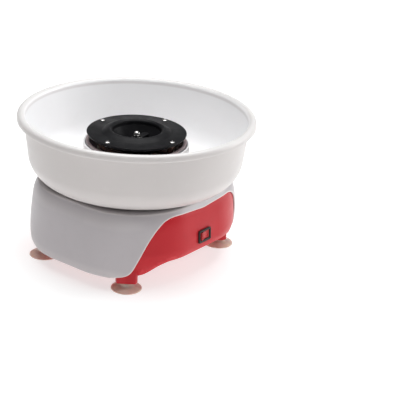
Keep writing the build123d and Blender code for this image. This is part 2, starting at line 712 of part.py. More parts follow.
DRIVE_PIN_HALF = 6.0
with BuildPart() as drive_pin:
    with BuildSketch(Plane.YZ):
        with Locations((0, DRIVE_PIN_Z)):
            Circle(DRIVE_PIN_R)
    extrude(amount=DRIVE_PIN_HALF, both=True)
drive_pin.part.label = "drive_pin"
export_step(drive_pin.part, "parts/drive_pin.step")

ROTOR_R = 13.2
POLES = 5
CORE_BOTTOM = 64.0
CORE_TOP = 88.0
with BuildPart() as rotor_core:
    with BuildSketch(Plane.XY.offset(CORE_BOTTOM)):
        Circle(ROTOR_R)
        with PolarLocations(9.5, POLES, start_angle=36):
            Rectangle(8.4, 4.4, mode=Mode.SUBTRACT)
        Circle(SHAFT_R + FIT_GAP, mode=Mode.SUBTRACT)
    extrude(amount=CORE_TOP - CORE_BOTTOM)
rotor_core.part.label = "rotor_core"
export_step(rotor_core.part, "parts/rotor_core.step")

WINDING_BUILD = 3.5
with BuildPart() as rotor_windings:
    for low in (CORE_BOTTOM - WINDING_BUILD, CORE_TOP):
        with BuildSketch(Plane.XY.offset(low)):
            Circle(11.5)
            Circle(SHAFT_R + 0.8, mode=Mode.SUBTRACT)
        extrude(amount=WINDING_BUILD)
rotor_windings.part.label = "rotor_windings"
export_step(rotor_windings.part, "parts/rotor_windings.step")

commutator = washer(COMMUTATOR_R, SHAFT_R + FIT_GAP, 52.5, 59.5)
commutator.label = "commutator"
export_step(commutator, "parts/commutator.step")

# ---------------------------------------------------------------- spinner head
rivet_points = ring_points(RIVET_RING_R, [RIVET_TURN + 90 * k for k in range(4)])
PLATE_UNDERSIDE = HEAD_TOP - HEAD_PLATE
POT_FLANGE_TOP = PLATE_UNDERSIDE - HEAD_SLOT
POT_FLANGE = POT_FLANGE_TOP - HEAD_SHEET
RIDGE_TOP = HEAD_TOP + 3.7
RIDGE_FOOT_R = 40.0
RIVET_HOLE_R = 1.65
lip_foot = PLATE_UNDERSIDE + 0.2
edge_start_r = HEAD_R - 0.5
# Upper plate: a flat ring that rises to a rounded ridge round the sugar well.
with BuildPart() as head_upper_plate:
    with BuildSketch(Plane.XZ):
        with BuildLine():
            Line((edge_start_r, HEAD_TOP), (RIDGE_FOOT_R, HEAD_TOP))
            Spline(
                (RIDGE_FOOT_R, HEAD_TOP),
                (35.5, HEAD_TOP + 2.4),
                (31.2, RIDGE_TOP),
                (WELL_R + 0.6, HEAD_TOP + 2.2),
                (WELL_R, lip_foot),
                tangents=((-1, 0), (0, -1)),
            )
            Line((WELL_R, lip_foot), (WELL_R + HEAD_SHEET, lip_foot))
            Spline(
                (WELL_R + HEAD_SHEET, lip_foot),
                (29.5, HEAD_TOP + 1.6),
                (31.3, RIDGE_TOP - 1.3),
                (34.9, HEAD_TOP + 1.0),
                (RIDGE_FOOT_R, PLATE_UNDERSIDE),
                tangents=((0, 1), (1, 0)),
            )
            Line((RIDGE_FOOT_R, PLATE_UNDERSIDE), (edge_start_r, PLATE_UNDERSIDE))
            edge_middle = (HEAD_R, HEAD_TOP - HEAD_PLATE / 2)
            ThreePointArc((edge_start_r, PLATE_UNDERSIDE), edge_middle, (edge_start_r, HEAD_TOP))
        make_face()
    revolve(axis=Axis.Z)
    with BuildSketch(Plane.XY.offset(PLATE_UNDERSIDE - 1)):
        with Locations(*rivet_points):
            Circle(RIVET_HOLE_R)
    extrude(amount=HEAD_PLATE + 2, mode=Mode.SUBTRACT)
head_upper_plate.part.label = "head_upper_plate"
export_step(head_upper_plate.part, "parts/head_upper_plate.step")

# Lower plate: a flat ring under the upper one, drawn down into a tapered pot.
POT_MOUTH_R = 28.6
FLANGE_R = HEAD_R - 1.3
HUB_HOLE_R = HUB_R + FIT_GAP
with BuildPart() as head_lower_plate:
    with BuildSketch(Plane.XZ):
        with BuildLine():
            Polyline(
                (HUB_HOLE_R, POT_BOTTOM),
                (POT_BOTTOM_R, POT_BOTTOM),
                (POT_MOUTH_R, POT_FLANGE),
                (FLANGE_R, POT_FLANGE),
                (FLANGE_R, POT_FLANGE_TOP),
                (POT_MOUTH_R - 0.9, POT_FLANGE_TOP),
                (POT_BOTTOM_R - 0.7, POT_BOTTOM + HEAD_SHEET),
                (HUB_HOLE_R, POT_BOTTOM + HEAD_SHEET),
                (HUB_HOLE_R, POT_BOTTOM),
            )
        make_face()
    revolve(axis=Axis.Z)
    with BuildSketch(Plane.XY.offset(POT_FLANGE - 1)):
        with Locations(*rivet_points):
            Circle(RIVET_HOLE_R)
    extrude(amount=HEAD_SHEET + 2, mode=Mode.SUBTRACT)
head_lower_plate.part.label = "head_lower_plate"
export_step(head_lower_plate.part, "parts/head_lower_plate.step")

# Thin washers that set the slot the floss leaves by.
slot_spacers = washer(3.4, RIVET_HOLE_R, POT_FLANGE_TOP, PLATE_UNDERSIDE, rivet_points)
slot_spacers.label = "slot_spacers"
export_step(slot_spacers, "parts/slot_spacers.step")

RIVET_TAIL = 1.0
RIVET_HEAD = 1.3
with BuildPart() as head_rivets:
    with BuildSketch(Plane.XY.offset(POT_FLANGE - RIVET_TAIL)):
        with Locations(*rivet_points):
            Circle(2.8)
    extrude(amount=RIVET_TAIL)
    with BuildSketch(Plane.XY.offset(POT_FLANGE)):
        with Locations(*rivet_points):
            Circle(RIVET_HOLE_R - RUN_GAP)
    extrude(amount=HEAD_TOP - POT_FLANGE)
    with BuildSketch(Plane.XY.offset(HEAD_TOP)):
        with Locations(*rivet_points):
            Circle(3.0)
    extrude(amount=RIVET_HEAD)
    fillet(head_rivets.edges().group_by(Axis.Z)[-1], 1.0)
head_rivets.part.label = "head_rivets"
export_step(head_rivets.part, "parts/head_rivets.step")

# Hub: slides over the shaft, and its slotted foot drops over the drive pin.
SPIGOT_R = 2.5
SPIGOT_TOP = 143.5
with BuildPart() as head_hub:
    with BuildSketch(Plane.XY.offset(HUB_BOTTOM)):
        Circle(HUB_R)
    extrude(amount=HUB_TOP - HUB_BOTTOM)
    with BuildSketch(Plane.XY.offset(HUB_TOP)):
        Circle(SPIGOT_R)
    extrude(amount=SPIGOT_TOP - HUB_TOP)
    with BuildSketch(Plane.XY.offset(HUB_BOTTOM)):
        Circle(SHAFT_R + RUN_GAP)
    extrude(amount=SHAFT_TOP + 0.5 - HUB_BOTTOM, mode=Mode.SUBTRACT)
    with BuildSketch(Plane.XY.offset(HUB_BOTTOM)):
        Rectangle(2 * HUB_R + 2, 2 * DRIVE_PIN_R + 0.4)
    extrude(amount=DRIVE_PIN_Z + DRIVE_PIN_R + 0.3 - HUB_BOTTOM, mode=Mode.SUBTRACT)
head_hub.part.label = "head_hub"
export_step(head_hub.part, "parts/head_hub.step")

# Cross bar that stirs the sugar, clamped on the hub.
BAR_LENGTH = 45.2
BAR_WIDTH = 8.0
BAR_THICK = 2.2
BAR_TURN = 8.0
BAR_TOP = HUB_TOP + BAR_THICK
SPIGOT_CLEAR_R = SPIGOT_R + 0.1
with BuildPart() as stirrer_bar:
    with BuildSketch(Plane.XY.offset(HUB_TOP)):
        SlotOverall(BAR_LENGTH, BAR_WIDTH, rotation=BAR_TURN)
        Circle(SPIGOT_CLEAR_R, mode=Mode.SUBTRACT)
    extrude(amount=BAR_THICK)
    fillet(stirrer_bar.edges().group_by(Axis.Z)[-1].filter_by(GeomType.LINE), 0.6)
stirrer_bar.part.label = "stirrer_bar"
export_step(stirrer_bar.part, "parts/stirrer_bar.step")

WASHER_TOP = BAR_TOP + 0.8
head_washer = washer(5.6, SPIGOT_CLEAR_R, BAR_TOP, WASHER_TOP)
head_washer.label = "head_washer"
export_step(head_washer, "parts/head_washer.step")

NUT_HEX = 3.2
NUT_CORNER_R = 4.6
HEX_TOP = WASHER_TOP + NUT_HEX
NUT_TOP = 146.5
DOME_R = 3.9
with BuildPart() as dome_nut:
    with BuildSketch(Plane.XY.offset(WASHER_TOP)):
        RegularPolygon(NUT_CORNER_R, 6)
    extrude(amount=NUT_HEX)
    with BuildSketch(Plane.XZ):
        with BuildLine():
            Polyline((0, HEX_TOP), (DOME_R, HEX_TOP), (DOME_R, NUT_TOP - DOME_R))
            CenterArc((0, NUT_TOP - DOME_R), DOME_R, 0, 90)
            Line((0, NUT_TOP), (0, HEX_TOP))
        make_face()
    revolve(axis=Axis.Z)
    with BuildSketch(Plane.XY.offset(WASHER_TOP)):
        Circle(SPIGOT_R + FIT_GAP)
    extrude(amount=SPIGOT_TOP + 0.3 - WASHER_TOP, mode=Mode.SUBTRACT)
dome_nut.part.label = "dome_nut"
export_step(dome_nut.part, "parts/dome_nut.step")

# ---------------------------------------------------------------- switch
WINDOW_W = 16.2
WINDOW_H = 9.6
POCKET_DEPTH = 7.0
PIVOT_DEPTH = 1.5
TRUNNION_R = 1.2
pivot_plane = switch_plane.offset(-PIVOT_DEPTH)
pivot = pivot_plane.origin
with BuildPart() as switch_body:
    with BuildSketch(switch_plane):
        RectangleRounded(SWITCH_W, SWITCH_H, 1.4)
    extrude(amount=BEZEL_THICK)
    fillet(switch_body.edges().group_by(Axis.Y)[0], 0.5)
    with BuildSketch(switch_plane):
        Rectangle(SWITCH_BODY_W, SWITCH_BODY_H)
    extrude(amount=-SWITCH_BODY_DEPTH)
    with BuildSketch(switch_plane.offset(BEZEL_THICK)):
        Rectangle(WINDOW_W, WINDOW_H)
    extrude(amount=-BEZEL_THICK - POCKET_DEPTH, mode=Mode.SUBTRACT)
    with BuildSketch(Plane(pivot, x_dir=(1, 0, 0), z_dir=switch_plane.y_dir)):
        Circle(TRUNNION_R + RUN_GAP)
    extrude(amount=WINDOW_H / 2 + 0.9, both=True, mode=Mode.SUBTRACT)
switch_body.part.label = "switch_body"
export_step(switch_body.part, "parts/switch_body.step")

SWITCH_BLADE_X = 4.5
SWITCH_BLADE_LENGTH = 8.0
with BuildPart() as switch_terminals:
    with BuildSketch(switch_plane.offset(-SWITCH_BODY_DEPTH)):
        with Locations((-SWITCH_BLADE_X, 0), (SWITCH_BLADE_X, 0)):
            Rectangle(BLADE_THICK, BLADE_WIDTH)
    extrude(amount=-SWITCH_BLADE_LENGTH)
switch_terminals.part.label = "switch_terminals"
export_step(switch_terminals.part, "parts/switch_terminals.step")

# Rocker: rests with its left end in, and swings about the upright pivot.
ROCKER_W = 14.6
ROCKER_H = 9.0
ROCKER_END = 3.5
ROCKER_MIDDLE = 2.4
ROCKER_BACK_HALF = ROCKER_W / 2 - 0.6
ROCKER_BACK = 1.6
ROCKER_BELLY = 3.4
rest_turn = -ROCKER_SWING / 2
rocker_plane = Plane(pivot, x_dir=(cos(radians(rest_turn)), sin(radians(rest_turn)), 0),
                     z_dir=switch_plane.y_dir)
with BuildPart() as rocker_button:
    with BuildSketch(rocker_plane.offset(-ROCKER_H / 2)):
        with BuildLine():
            Polyline(
                (-ROCKER_BACK_HALF, ROCKER_BACK),
                (-ROCKER_W / 2, -ROCKER_END),
                (0, -ROCKER_MIDDLE),
                (ROCKER_W / 2, -ROCKER_END),
                (ROCKER_BACK_HALF, ROCKER_BACK),
            )
            back_ends = [(side * ROCKER_BACK_HALF, ROCKER_BACK) for side in (1, -1)]
            ThreePointArc(back_ends[0], (0, ROCKER_BELLY), back_ends[1])
        make_face()
    extrude(amount=ROCKER_H)
    with BuildSketch(rocker_plane):
        Circle(TRUNNION_R)
    extrude(amount=WINDOW_H / 2 + 0.7, both=True)
rocker_button.part.label = "rocker_button"
export_step(rocker_button.part, "parts/rocker_button.step")

# ---------------------------------------------------------------- electrics
with BuildPart() as circuit_board:
    with BuildSketch(Plane.XY.offset(BOARD_Z)):
        with Locations((BOARD_X, 0)):
            Rectangle(BOARD_W, BOARD_D)
        with Locations(*board_corners):
            Circle(1.6, mode=Mode.SUBTRACT)
    extrude(amount=BOARD_THICK)
circuit_board.part.label = "circuit_board"
export_step(circuit_board.part, "parts/circuit_board.step")

BOARD_TOP = BOARD_Z + BOARD_THICK
board_screws = screws(board_corners, BOARD_TOP, 2.6, 1.6, 1.3, 38.0)
board_screws.label = "board_screws"
export_step(board_screws, "parts/board_screws.step")

with BuildPart() as bridge_rectifier:
    with BuildSketch(Plane.XY.offset(BOARD_TOP)):
        with Locations((BOARD_X + 10, -6)):
            Rectangle(4.6, 15)
    extrude(amount=11)
    chamfer(bridge_rectifier.edges().filter_by(Axis.X).sort_by(Axis.Z)[-1], 2)
bridge_rectifier.part.label = "bridge_rectifier"
export_step(bridge_rectifier.part, "parts/bridge_rectifier.step")

with BuildPart() as smoothing_capacitor:
    with BuildSketch(Plane.XY.offset(BOARD_TOP)):
        with Locations((BOARD_X, 4)):
            Circle(5)
    extrude(amount=16)
    fillet(smoothing_capacitor.edges().group_by(Axis.Z)[-1], 0.7)
smoothing_capacitor.part.label = "smoothing_capacitor"
export_step(smoothing_capacitor.part, "parts/smoothing_capacitor.step")

BLOCK_X = BOARD_X - 13
BLOCK_HEIGHT = 10.0
SOCKET_PITCH = 5.0
with BuildPart() as terminal_block:
    with BuildSketch(Plane.XY.offset(BOARD_TOP)):
        with Locations((BLOCK_X, 0)):
            Rectangle(9, 4 * SOCKET_PITCH)
    extrude(amount=BLOCK_HEIGHT)
    with BuildSketch(Plane.XY.offset(BOARD_TOP + BLOCK_HEIGHT)):
        with Locations(*[(BLOCK_X, step * SOCKET_PITCH) for step in (-1.5, -0.5, 0.5, 1.5)]):
            Circle(1.6)
    extrude(amount=-4, mode=Mode.SUBTRACT)
terminal_block.part.label = "terminal_block"
export_step(terminal_block.part, "parts/terminal_block.step")

# Rubber grommet: the cord inlet in the rear wall.
INLET_WALL = TUB_WALL + 0.7
with BuildPart() as cord_grommet:
    with BuildSketch(inlet_plane):
        Circle(INLET_FLANGE_R)
    extrude(amount=INLET_FLANGE)
    fillet(cord_grommet.edges().group_by(Axis.Y)[-1], 0.6)
    with BuildSketch(inlet_plane):
        Circle(INLET_NECK_R)
    extrude(amount=-INLET_WALL)
    with BuildSketch(inlet_plane.offset(-INLET_WALL)):
        Circle(INLET_FLANGE_R - 0.5)
    extrude(amount=-INLET_FLANGE)
    with BuildSketch(inlet_plane.offset(INLET_FLANGE)):
        Circle(INLET_BORE_R)
    extrude(amount=-2 * INLET_FLANGE - INLET_WALL, mode=Mode.SUBTRACT)
cord_grommet.part.label = "cord_grommet"
export_step(cord_grommet.part, "parts/cord_grommet.step")

# ---------------------------------------------------------------- inner wiring
# From the element's legs down past the motor to the board.
(leg_a_x, leg_a_y), (leg_b_x, leg_b_y) = coil_end_points
LEG_END = COIL_LEG_BOTTOM - 0.1
LEAD_END = BOARD_TOP + 0.1
heater_leads = leads([
    [
        (leg_a_x, leg_a_y, LEG_END),
        (leg_a_x, leg_a_y, 64),
        (-40, -22, 56),
        (-46, -9, 53),
        (-46, -9, LEAD_END),
    ],
    [
        (leg_b_x, leg_b_y, LEG_END),
        (leg_b_x, leg_b_y, 70),
        (-12, -29, 56),
        (-46, -2, 50),
        (-46, -2, LEAD_END),
    ],
])
heater_leads.label = "heater_leads"
export_step(heater_leads, "parts/heater_leads.step")

# From the motor's terminals to the board.
motor_leads = leads([
    [
        (0, side * 10.6, 43),
        (0, side * 24, 43),
        (-34, side * 14, 47),
        (-41.5, side * 4, 47),
        (-41.5, side * 4, LEAD_END),
    ]
    for side in (-1, 1)
])
motor_leads.label = "motor_leads"
export_step(motor_leads, "parts/motor_leads.step")

# From the switch's blades to the board.
blade_end = switch_plane.offset(-SWITCH_BODY_DEPTH - SWITCH_BLADE_LENGTH - 0.1).origin
switch_leads = leads([
    [
        (-SWITCH_BLADE_X, blade_end.Y, blade_end.Z),
        (-SWITCH_BLADE_X, -62, blade_end.Z),
        (-46, -38, 54),
        (-58, -13, 54),
        (-58, -13, LEAD_END),
    ],
    [
        (SWITCH_BLADE_X, blade_end.Y, blade_end.Z),
        (SWITCH_BLADE_X, -58, blade_end.Z),
        (-48, -28, 60),
        (-62, -9, 58),
        (-62, -9, LEAD_END),
    ],
])
switch_leads.label = "switch_leads"
export_step(switch_leads, "parts/switch_leads.step")
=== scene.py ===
import json
import math

import bmesh
import bpy
from mathutils import Matrix, Vector


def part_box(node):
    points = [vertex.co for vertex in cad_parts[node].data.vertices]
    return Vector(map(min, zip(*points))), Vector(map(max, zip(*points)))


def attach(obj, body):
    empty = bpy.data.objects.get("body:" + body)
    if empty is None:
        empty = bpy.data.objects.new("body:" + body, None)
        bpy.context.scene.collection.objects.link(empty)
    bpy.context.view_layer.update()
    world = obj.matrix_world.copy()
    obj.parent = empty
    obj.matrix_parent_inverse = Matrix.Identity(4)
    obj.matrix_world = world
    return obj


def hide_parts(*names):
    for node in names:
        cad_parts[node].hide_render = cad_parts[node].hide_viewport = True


# Looks of the cotton candy machine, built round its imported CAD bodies. Shapes are in millimetres,
# in the row frame, and are scaled to metres when they become meshes.
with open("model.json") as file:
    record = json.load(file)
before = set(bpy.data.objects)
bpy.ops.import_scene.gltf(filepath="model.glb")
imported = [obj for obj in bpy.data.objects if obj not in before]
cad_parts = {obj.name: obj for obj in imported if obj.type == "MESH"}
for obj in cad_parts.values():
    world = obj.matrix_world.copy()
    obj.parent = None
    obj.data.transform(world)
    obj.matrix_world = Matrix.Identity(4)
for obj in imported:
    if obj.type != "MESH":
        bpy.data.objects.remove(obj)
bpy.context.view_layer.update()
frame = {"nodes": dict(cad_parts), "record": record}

MM = 0.001


def low_of(node):
    """Height of a CAD node's lowest point in millimetres."""
    return round(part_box(node)[0].z / MM, 2)


def top_of(node):
    """Height of a CAD node's highest point in millimetres."""
    return round(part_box(node)[1].z / MM, 2)


def middle_of(node):
    """Middle of a CAD node's box in plan, in millimetres."""
    low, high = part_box(node)
    return (round((low.x + high.x) / 2 / MM, 1), round((low.y + high.y) / 2 / MM, 1))


# Used by more than one piece: where the cups stand, and the height that the pan rests at.
FEET = {place: middle_of("suction_cup_" + place)
        for place in ("front_left", "rear_left", "front_right", "rear_right")}
PAN_FLOOR = low_of("heater_pan")


# ---------------------------------------------------------------- outlines and curves
def arc(centre, radius, start, end, steps=8):
    """Points of an arc from one angle to another, in degrees."""
    angles = [math.radians(start + (end - start) * k / steps) for k in range(steps + 1)]
    return [(centre[0] + radius * math.cos(a), centre[1] + radius * math.sin(a)) for a in angles]


def on_ring(radius, degrees):
    """Point at an angle in degrees on a circle about the origin."""
    return (radius * math.cos(math.radians(degrees)), radius * math.sin(math.radians(degrees)))


def rounded(corners, steps=4, closed=True):
    """A polygon's outline with rounded corners. A corner is (x, y), or (x, y, radius)."""
    out = []
    last = len(corners) - 1
    for i, corner in enumerate(corners):
        here = Vector(corner[:2])
        radius = corner[2] if len(corner) > 2 else 0.0
        if radius == 0.0 or (not closed and i in (0, last)):
            out.append(tuple(here))
            continue
        before = (Vector(corners[i - 1][:2]) - here).normalized()
        after = (Vector(corners[(i + 1) % len(corners)][:2]) - here).normalized()
        half = before.angle(after) / 2
        centre = here + (before + after).normalized() * radius / math.sin(half)
        first = here + before * radius / math.tan(half) - centre
        final = here + after * radius / math.tan(half) - centre
        sweep = first.angle(final)
        for k in range(steps + 1):
            t = k / steps
            turned_arm = first * math.sin((1 - t) * sweep) + final * math.sin(t * sweep)
            out.append(tuple(centre + turned_arm / math.sin(sweep)))
    return out


def through(points, steps=6):
    """Points of a smooth curve through the given ones."""
    knots = [Vector(p) for p in points]
    at = [0.0]
    for a, b in zip(knots, knots[1:]):
        at.append(at[-1] + (b - a).length)
    slopes = []
    for i in range(len(knots)):
        low, high = max(i - 1, 0), min(i + 1, len(knots) - 1)
        slopes.append((knots[high] - knots[low]) / (at[high] - at[low]))
    out = []
    for i in range(len(knots) - 1):
        span = at[i + 1] - at[i]
        for k in range(steps):
            t = k / steps
            out.append(tuple(
                knots[i] * (2 * t**3 - 3 * t**2 + 1) + slopes[i] * span * (t**3 - 2 * t**2 + t)
                + knots[i + 1] * (3 * t**2 - 2 * t**3) + slopes[i + 1] * span * (t**3 - t**2)
            ))
    return out + [tuple(knots[-1])]


def height_at(points, x):
    """Height of a smooth curve through the points at x, level beyond its ends."""
    if x <= points[0][0]:
        return points[0][1]
    if x >= points[-1][0]:
        return points[-1][1]
    i = max(k for k in range(len(points) - 1) if points[k][0] <= x)
    (x0, y0), (x1, y1) = points[i], points[i + 1]

    def slope(k):
        low, high = max(k - 1, 0), min(k + 1, len(points) - 1)
        return (points[high][1] - points[low][1]) / (points[high][0] - points[low][0])

    span, t = x1 - x0, (x - x0) / (x1 - x0)
    return (y0 * (2 * t**3 - 3 * t**2 + 1) + slope(i) * span * (t**3 - 2 * t**2 + t)
            + y1 * (3 * t**2 - 2 * t**3) + slope(i + 1) * span * (t**3 - t**2))


# ---------------------------------------------------------------- meshes
def skin(rows, wrap=False, caps=False):
    """Vertices and faces of a surface through rows of points. A row is a closed loop, or one
    point where the surface closes; wrap joins the last row to the first, and caps fills both."""
    vertices, starts, faces = [], [], []
    for row in rows:
        starts.append(len(vertices))
        vertices += [tuple(p) for p in row]
    pairs = [(k, k + 1) for k in range(len(rows) - 1)]
    if wrap:
        pairs.append((len(rows) - 1, 0))
    for a, b in pairs:
        count_a, count_b = len(rows[a]), len(rows[b])
        count = max(count_a, count_b)
        for i in range(count):
            j = (i + 1) % count
            corners = (starts[a] + i % count_a, starts[a] + j % count_a,
                       starts[b] + j % count_b, starts[b] + i % count_b)
            faces.append(tuple(dict.fromkeys(corners)))
    if caps:
        faces.append(tuple(range(starts[0], starts[0] + len(rows[0]))))
        faces.append(tuple(range(starts[-1], starts[-1] + len(rows[-1]))))
    return vertices, faces


def turned(profile, steps=64, at=(0.0, 0.0), closed=True):
    """A profile of (radius, height) points turned about an upright axis. An open profile starts
    and ends on the axis."""
    rows = []
    for radius, z in profile:
        if radius < 1e-6:
            rows.append([(at[0], at[1], z)])
            continue
        angles = [2 * math.pi * k / steps for k in range(steps)]
        rows.append([(at[0] + radius * math.cos(a), at[1] + radius * math.sin(a), z)
                     for a in angles])
    return skin(rows, wrap=closed)


def placed(shape, matrix):
    """The shape moved by a matrix in millimetres."""
    return [tuple(matrix @ Vector(p)) for p in shape[0]], shape[1]


def piece(name, body, slot, shapes, replaced=(), sharp=50.0):
    """An object made of shapes, riding on a CAD body, with the finish of a material slot. Edges
    that turn by more than sharp degrees are drawn crisp."""
    vertices, faces = [], []
    for more_vertices, more_faces in shapes:
        base = len(vertices)
        vertices += [Vector(p) * MM for p in more_vertices]
        faces += [tuple(i + base for i in face) for face in more_faces]
    mesh = bpy.data.meshes.new(name)
    mesh.from_pydata(vertices, [], faces)
    work = bmesh.new()
    work.from_mesh(mesh)
    bmesh.ops.recalc_face_normals(work, faces=work.faces)
    work.to_mesh(mesh)
    work.free()
    mesh.shade_smooth()
    mesh.set_sharp_from_angle(angle=math.radians(sharp))
    mesh.materials.append(FINISHES[slot])
    made = bpy.data.objects.new(name, mesh)
    bpy.context.scene.collection.objects.link(made)
    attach(made, body)
    if replaced:
        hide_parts(*replaced)


# ---------------------------------------------------------------- finishes
class Finish:
    """A material under construction: the Principled shader, and textures laid in object space."""

    def __init__(self, name, constants):
        self.material = bpy.data.materials.new(name)
        self.material.use_nodes = True
        self.tree = self.material.node_tree
        self.shader = self.tree.nodes["Principled BSDF"]
        for socket, value in constants.items():
            self.shader.inputs[socket].default_value = value
        self.place = self.add("TexCoord").outputs["Object"]

    def add(self, kind, inputs=None, **settings):
        """A new shader node, with its inputs fed and its settings made."""
        node = self.tree.nodes.new("ShaderNode" + kind)
        for key, value in settings.items():
            setattr(node, key, value)
        for key, value in (inputs or {}).items():
            self.feed(node.inputs[key], value)
        return node

    def feed(self, socket, value):
        """Link a socket to another's output, or set it to a constant."""
        if isinstance(value, bpy.types.NodeSocket):
            self.tree.links.new(value, socket)
        else:
            socket.default_value = value

    def cloud(self, size, detail=3.0, stretch=(1.0, 1.0, 1.0), place=None):
        """Cloudy noise from 0 to 1 whose blotches are about size millimetres across."""
        scale = [s / (size * MM) for s in stretch]
        where = self.add("Mapping", {"Vector": place or self.place, "Scale": scale})
        return self.add("TexNoise", {"Vector": where.outputs[0], "Scale": 1.0,
                                     "Detail": detail}).outputs[0]

    def span(self, value, low, high, to_low=0.0, to_high=1.0):
        """The value's stretch from low to high, carried over to another one and held there."""
        return self.add("MapRange", {"Value": value, "From Min": low, "From Max": high,
                                     "To Min": to_low, "To Max": to_high}).outputs[0]

    def patches(self, size, detail=5.0):
        """Soft patches about size millimetres across: 0 in one tone, 1 in the other."""
        return self.span(self.cloud(size, detail), 0.35, 0.65)

    def wander(self, texture, low, high):
        """A value that wanders between low and high as a cloudy texture does."""
        return self.span(texture, 0.3, 0.7, low, high)

    def calc(self, operation, a, b):
        """Arithmetic on two values."""
        return self.add("Math", {0: a, 1: b}, operation=operation).outputs[0]

    def vector(self, operation, a, b, output=0):
        """Vector arithmetic; an operation on one vector leaves b unread."""
        return self.add("VectorMath", {0: a, 1: b}, operation=operation).outputs[output]

    def blend(self, factor, a, b):
        """Colour a where factor is 0, and colour b where it is 1."""
        node = self.add("Mix", data_type="RGBA")
        colours = [socket for socket in node.inputs if socket.type == "RGBA"]
        self.feed(node.inputs["Factor"], factor)
        for socket, value in zip(colours, (a, b)):
            self.feed(socket, (*value, 1.0) if isinstance(value, tuple) else value)
        return next(socket for socket in node.outputs if socket.type == "RGBA")

    def scheme(self, factor, stops):
        """Colours along a ramp: stops are (position, colour)."""
        node = self.add("ValToRGB", {"Fac": factor})
        marks = node.color_ramp.elements
        while len(marks) < len(stops):
            marks.new(0.5)
        for mark, (position, colour) in zip(marks, stops):
            mark.position = position
            mark.color = (*colour, 1.0)
        return node.outputs[0]

    def flat(self):
        """The place with its height left out, measured from the spinner's axis."""
        return self.vector("MULTIPLY", self.place, (1.0, 1.0, 0.0))

    def radius(self):
        """Distance from the spinner's axis in metres."""
        return self.vector("LENGTH", self.flat(), (0.0, 0.0, 0.0), "Value")

    def rings(self, pitch):
        """Fine rings about the spinner's axis, about pitch millimetres apart."""
        along = self.add("CombineXYZ", {0: self.radius()}).outputs[0]
        return self.cloud(pitch, 2.0, place=along)

    def edges(self, low=0.505, high=0.54):
        """1 on outer edges, 0 elsewhere."""
        return self.span(self.add("NewGeometry").outputs["Pointiness"], low, high)

    def scratches(self, size=14.0, stretch=(1.0, 1.0, 24.0), width=0.035):
        """Fine hairlines: 1 on a scratch, 0 off it."""
        lines = self.cloud(size, 2.0, stretch)
        off_line = self.calc("ABSOLUTE", self.calc("SUBTRACT", lines, 0.5), 0.0)
        return self.span(off_line, 0.0, width, 1.0, 0.0)

    def relief(self, height, depth, strength=1.0, under=None):
        """Bump from a height texture, depth in millimetres, laid over another bump."""
        inputs = {"Height": height, "Distance": depth * MM, "Strength": strength}
        if under is not None:
            inputs["Normal"] = under
        return self.add("Bump", inputs).outputs[0]

    def done(self, colour, rough, normal):
        """The material, once its colour, roughness and bump are in the shader."""
        self.feed(self.shader.inputs["Base Color"], colour)
        self.feed(self.shader.inputs["Roughness"], rough)
        self.feed(self.shader.inputs["Normal"], normal)
        return self.material


def plastic(name, colour, shade, rough, edge_wear_and_highlight, rubbed=0.5, constants=None):
    """Moulded plastic: faint cloudiness, a fine moulded skin, smears, rubbed edges, and on the
    cover a painted edge highlight.
    """
    f = Finish(name, constants or {})
    base = f.blend(f.patches(70, 4.0), colour, shade)
    grime = f.span(f.cloud(9, 6.0), 0.56, 0.78, 0.0, 0.35)
    base = f.blend(grime, base, tuple(0.93 * c for c in shade))
    # Edges take the edge tone: rubbed wear, and on the cover, cream at full share, a painted edge
    # highlight.
    base = f.blend(f.calc("MULTIPLY", f.edges(), rubbed), base, edge_wear_and_highlight)
    smear = f.wander(f.cloud(32, 5.0, (1.0, 1.0, 2.2)), rough - 0.05, rough + 0.06)
    roughness = f.calc("ADD", smear, f.calc("MULTIPLY", f.scratches(), 0.06))
    wave = f.relief(f.cloud(24, 1.0), 0.12, 0.5)
    return f.done(base, roughness, f.relief(f.cloud(0.9, 2.0), 0.02, 0.6, wave))


def bowl_plastic(name):
    """Milky spun-moulded plastic with painted shade: its outside, its downward faces and its rim
    are painted greyer than the bright inside. Faint turning rings, and a trace of haze where sugar
    has settled."""
    f = Finish(name, {"Subsurface Weight": 0.4, "Subsurface Scale": 0.004,
                      "Subsurface Radius": (1.0, 0.95, 0.95)})
    # Painted shade: faces turned outwards or downwards, and the rim, take the greyer outside tone.
    away = f.vector("NORMALIZE", f.flat(), (0.0, 0.0, 0.0))
    normal = f.add("TexCoord").outputs["Normal"]
    outward = f.vector("DOT_PRODUCT", normal, away, "Value")
    downward = f.calc("MULTIPLY", f.add("SeparateXYZ", {0: normal}).outputs["Z"], -0.7)
    height = f.add("SeparateXYZ", {0: f.place}).outputs["Z"]
    rim_painted_shade = f.span(height, 0.156, 0.162)
    facing = f.calc("ADD", f.calc("ADD", outward, downward), rim_painted_shade)
    tone = f.patches(90, 3.0)
    inner = f.blend(tone, (0.88, 0.88, 0.89), (0.86, 0.86, 0.87))
    outer = f.blend(tone, (0.58, 0.555, 0.546), (0.56, 0.536, 0.527))
    base = f.blend(f.span(facing, -0.3, 0.2), inner, outer)
    # Painted shade: the top of the rim is painted a darker grey.
    base = f.blend(f.span(height, 0.1655, 0.1675), base, (0.57, 0.56, 0.555))
    haze = f.span(f.cloud(12, 5.0), 0.60, 0.80, 0.0, 0.12)
    base = f.blend(haze, base, (0.72, 0.71, 0.70))
    base = f.blend(f.calc("MULTIPLY", f.edges(), 0.3), base, (0.84, 0.84, 0.84))
    rings = f.rings(0.8)
    smear = f.wander(f.cloud(32, 5.0, (1.0, 1.0, 2.2)), 0.30, 0.38)
    roughness = f.calc("ADD", smear, f.wander(rings, -0.02, 0.02))
    wave = f.relief(f.cloud(24, 1.0), 0.08, 0.4)
    return f.done(base, roughness, f.relief(rings, 0.004, 0.4, wave))


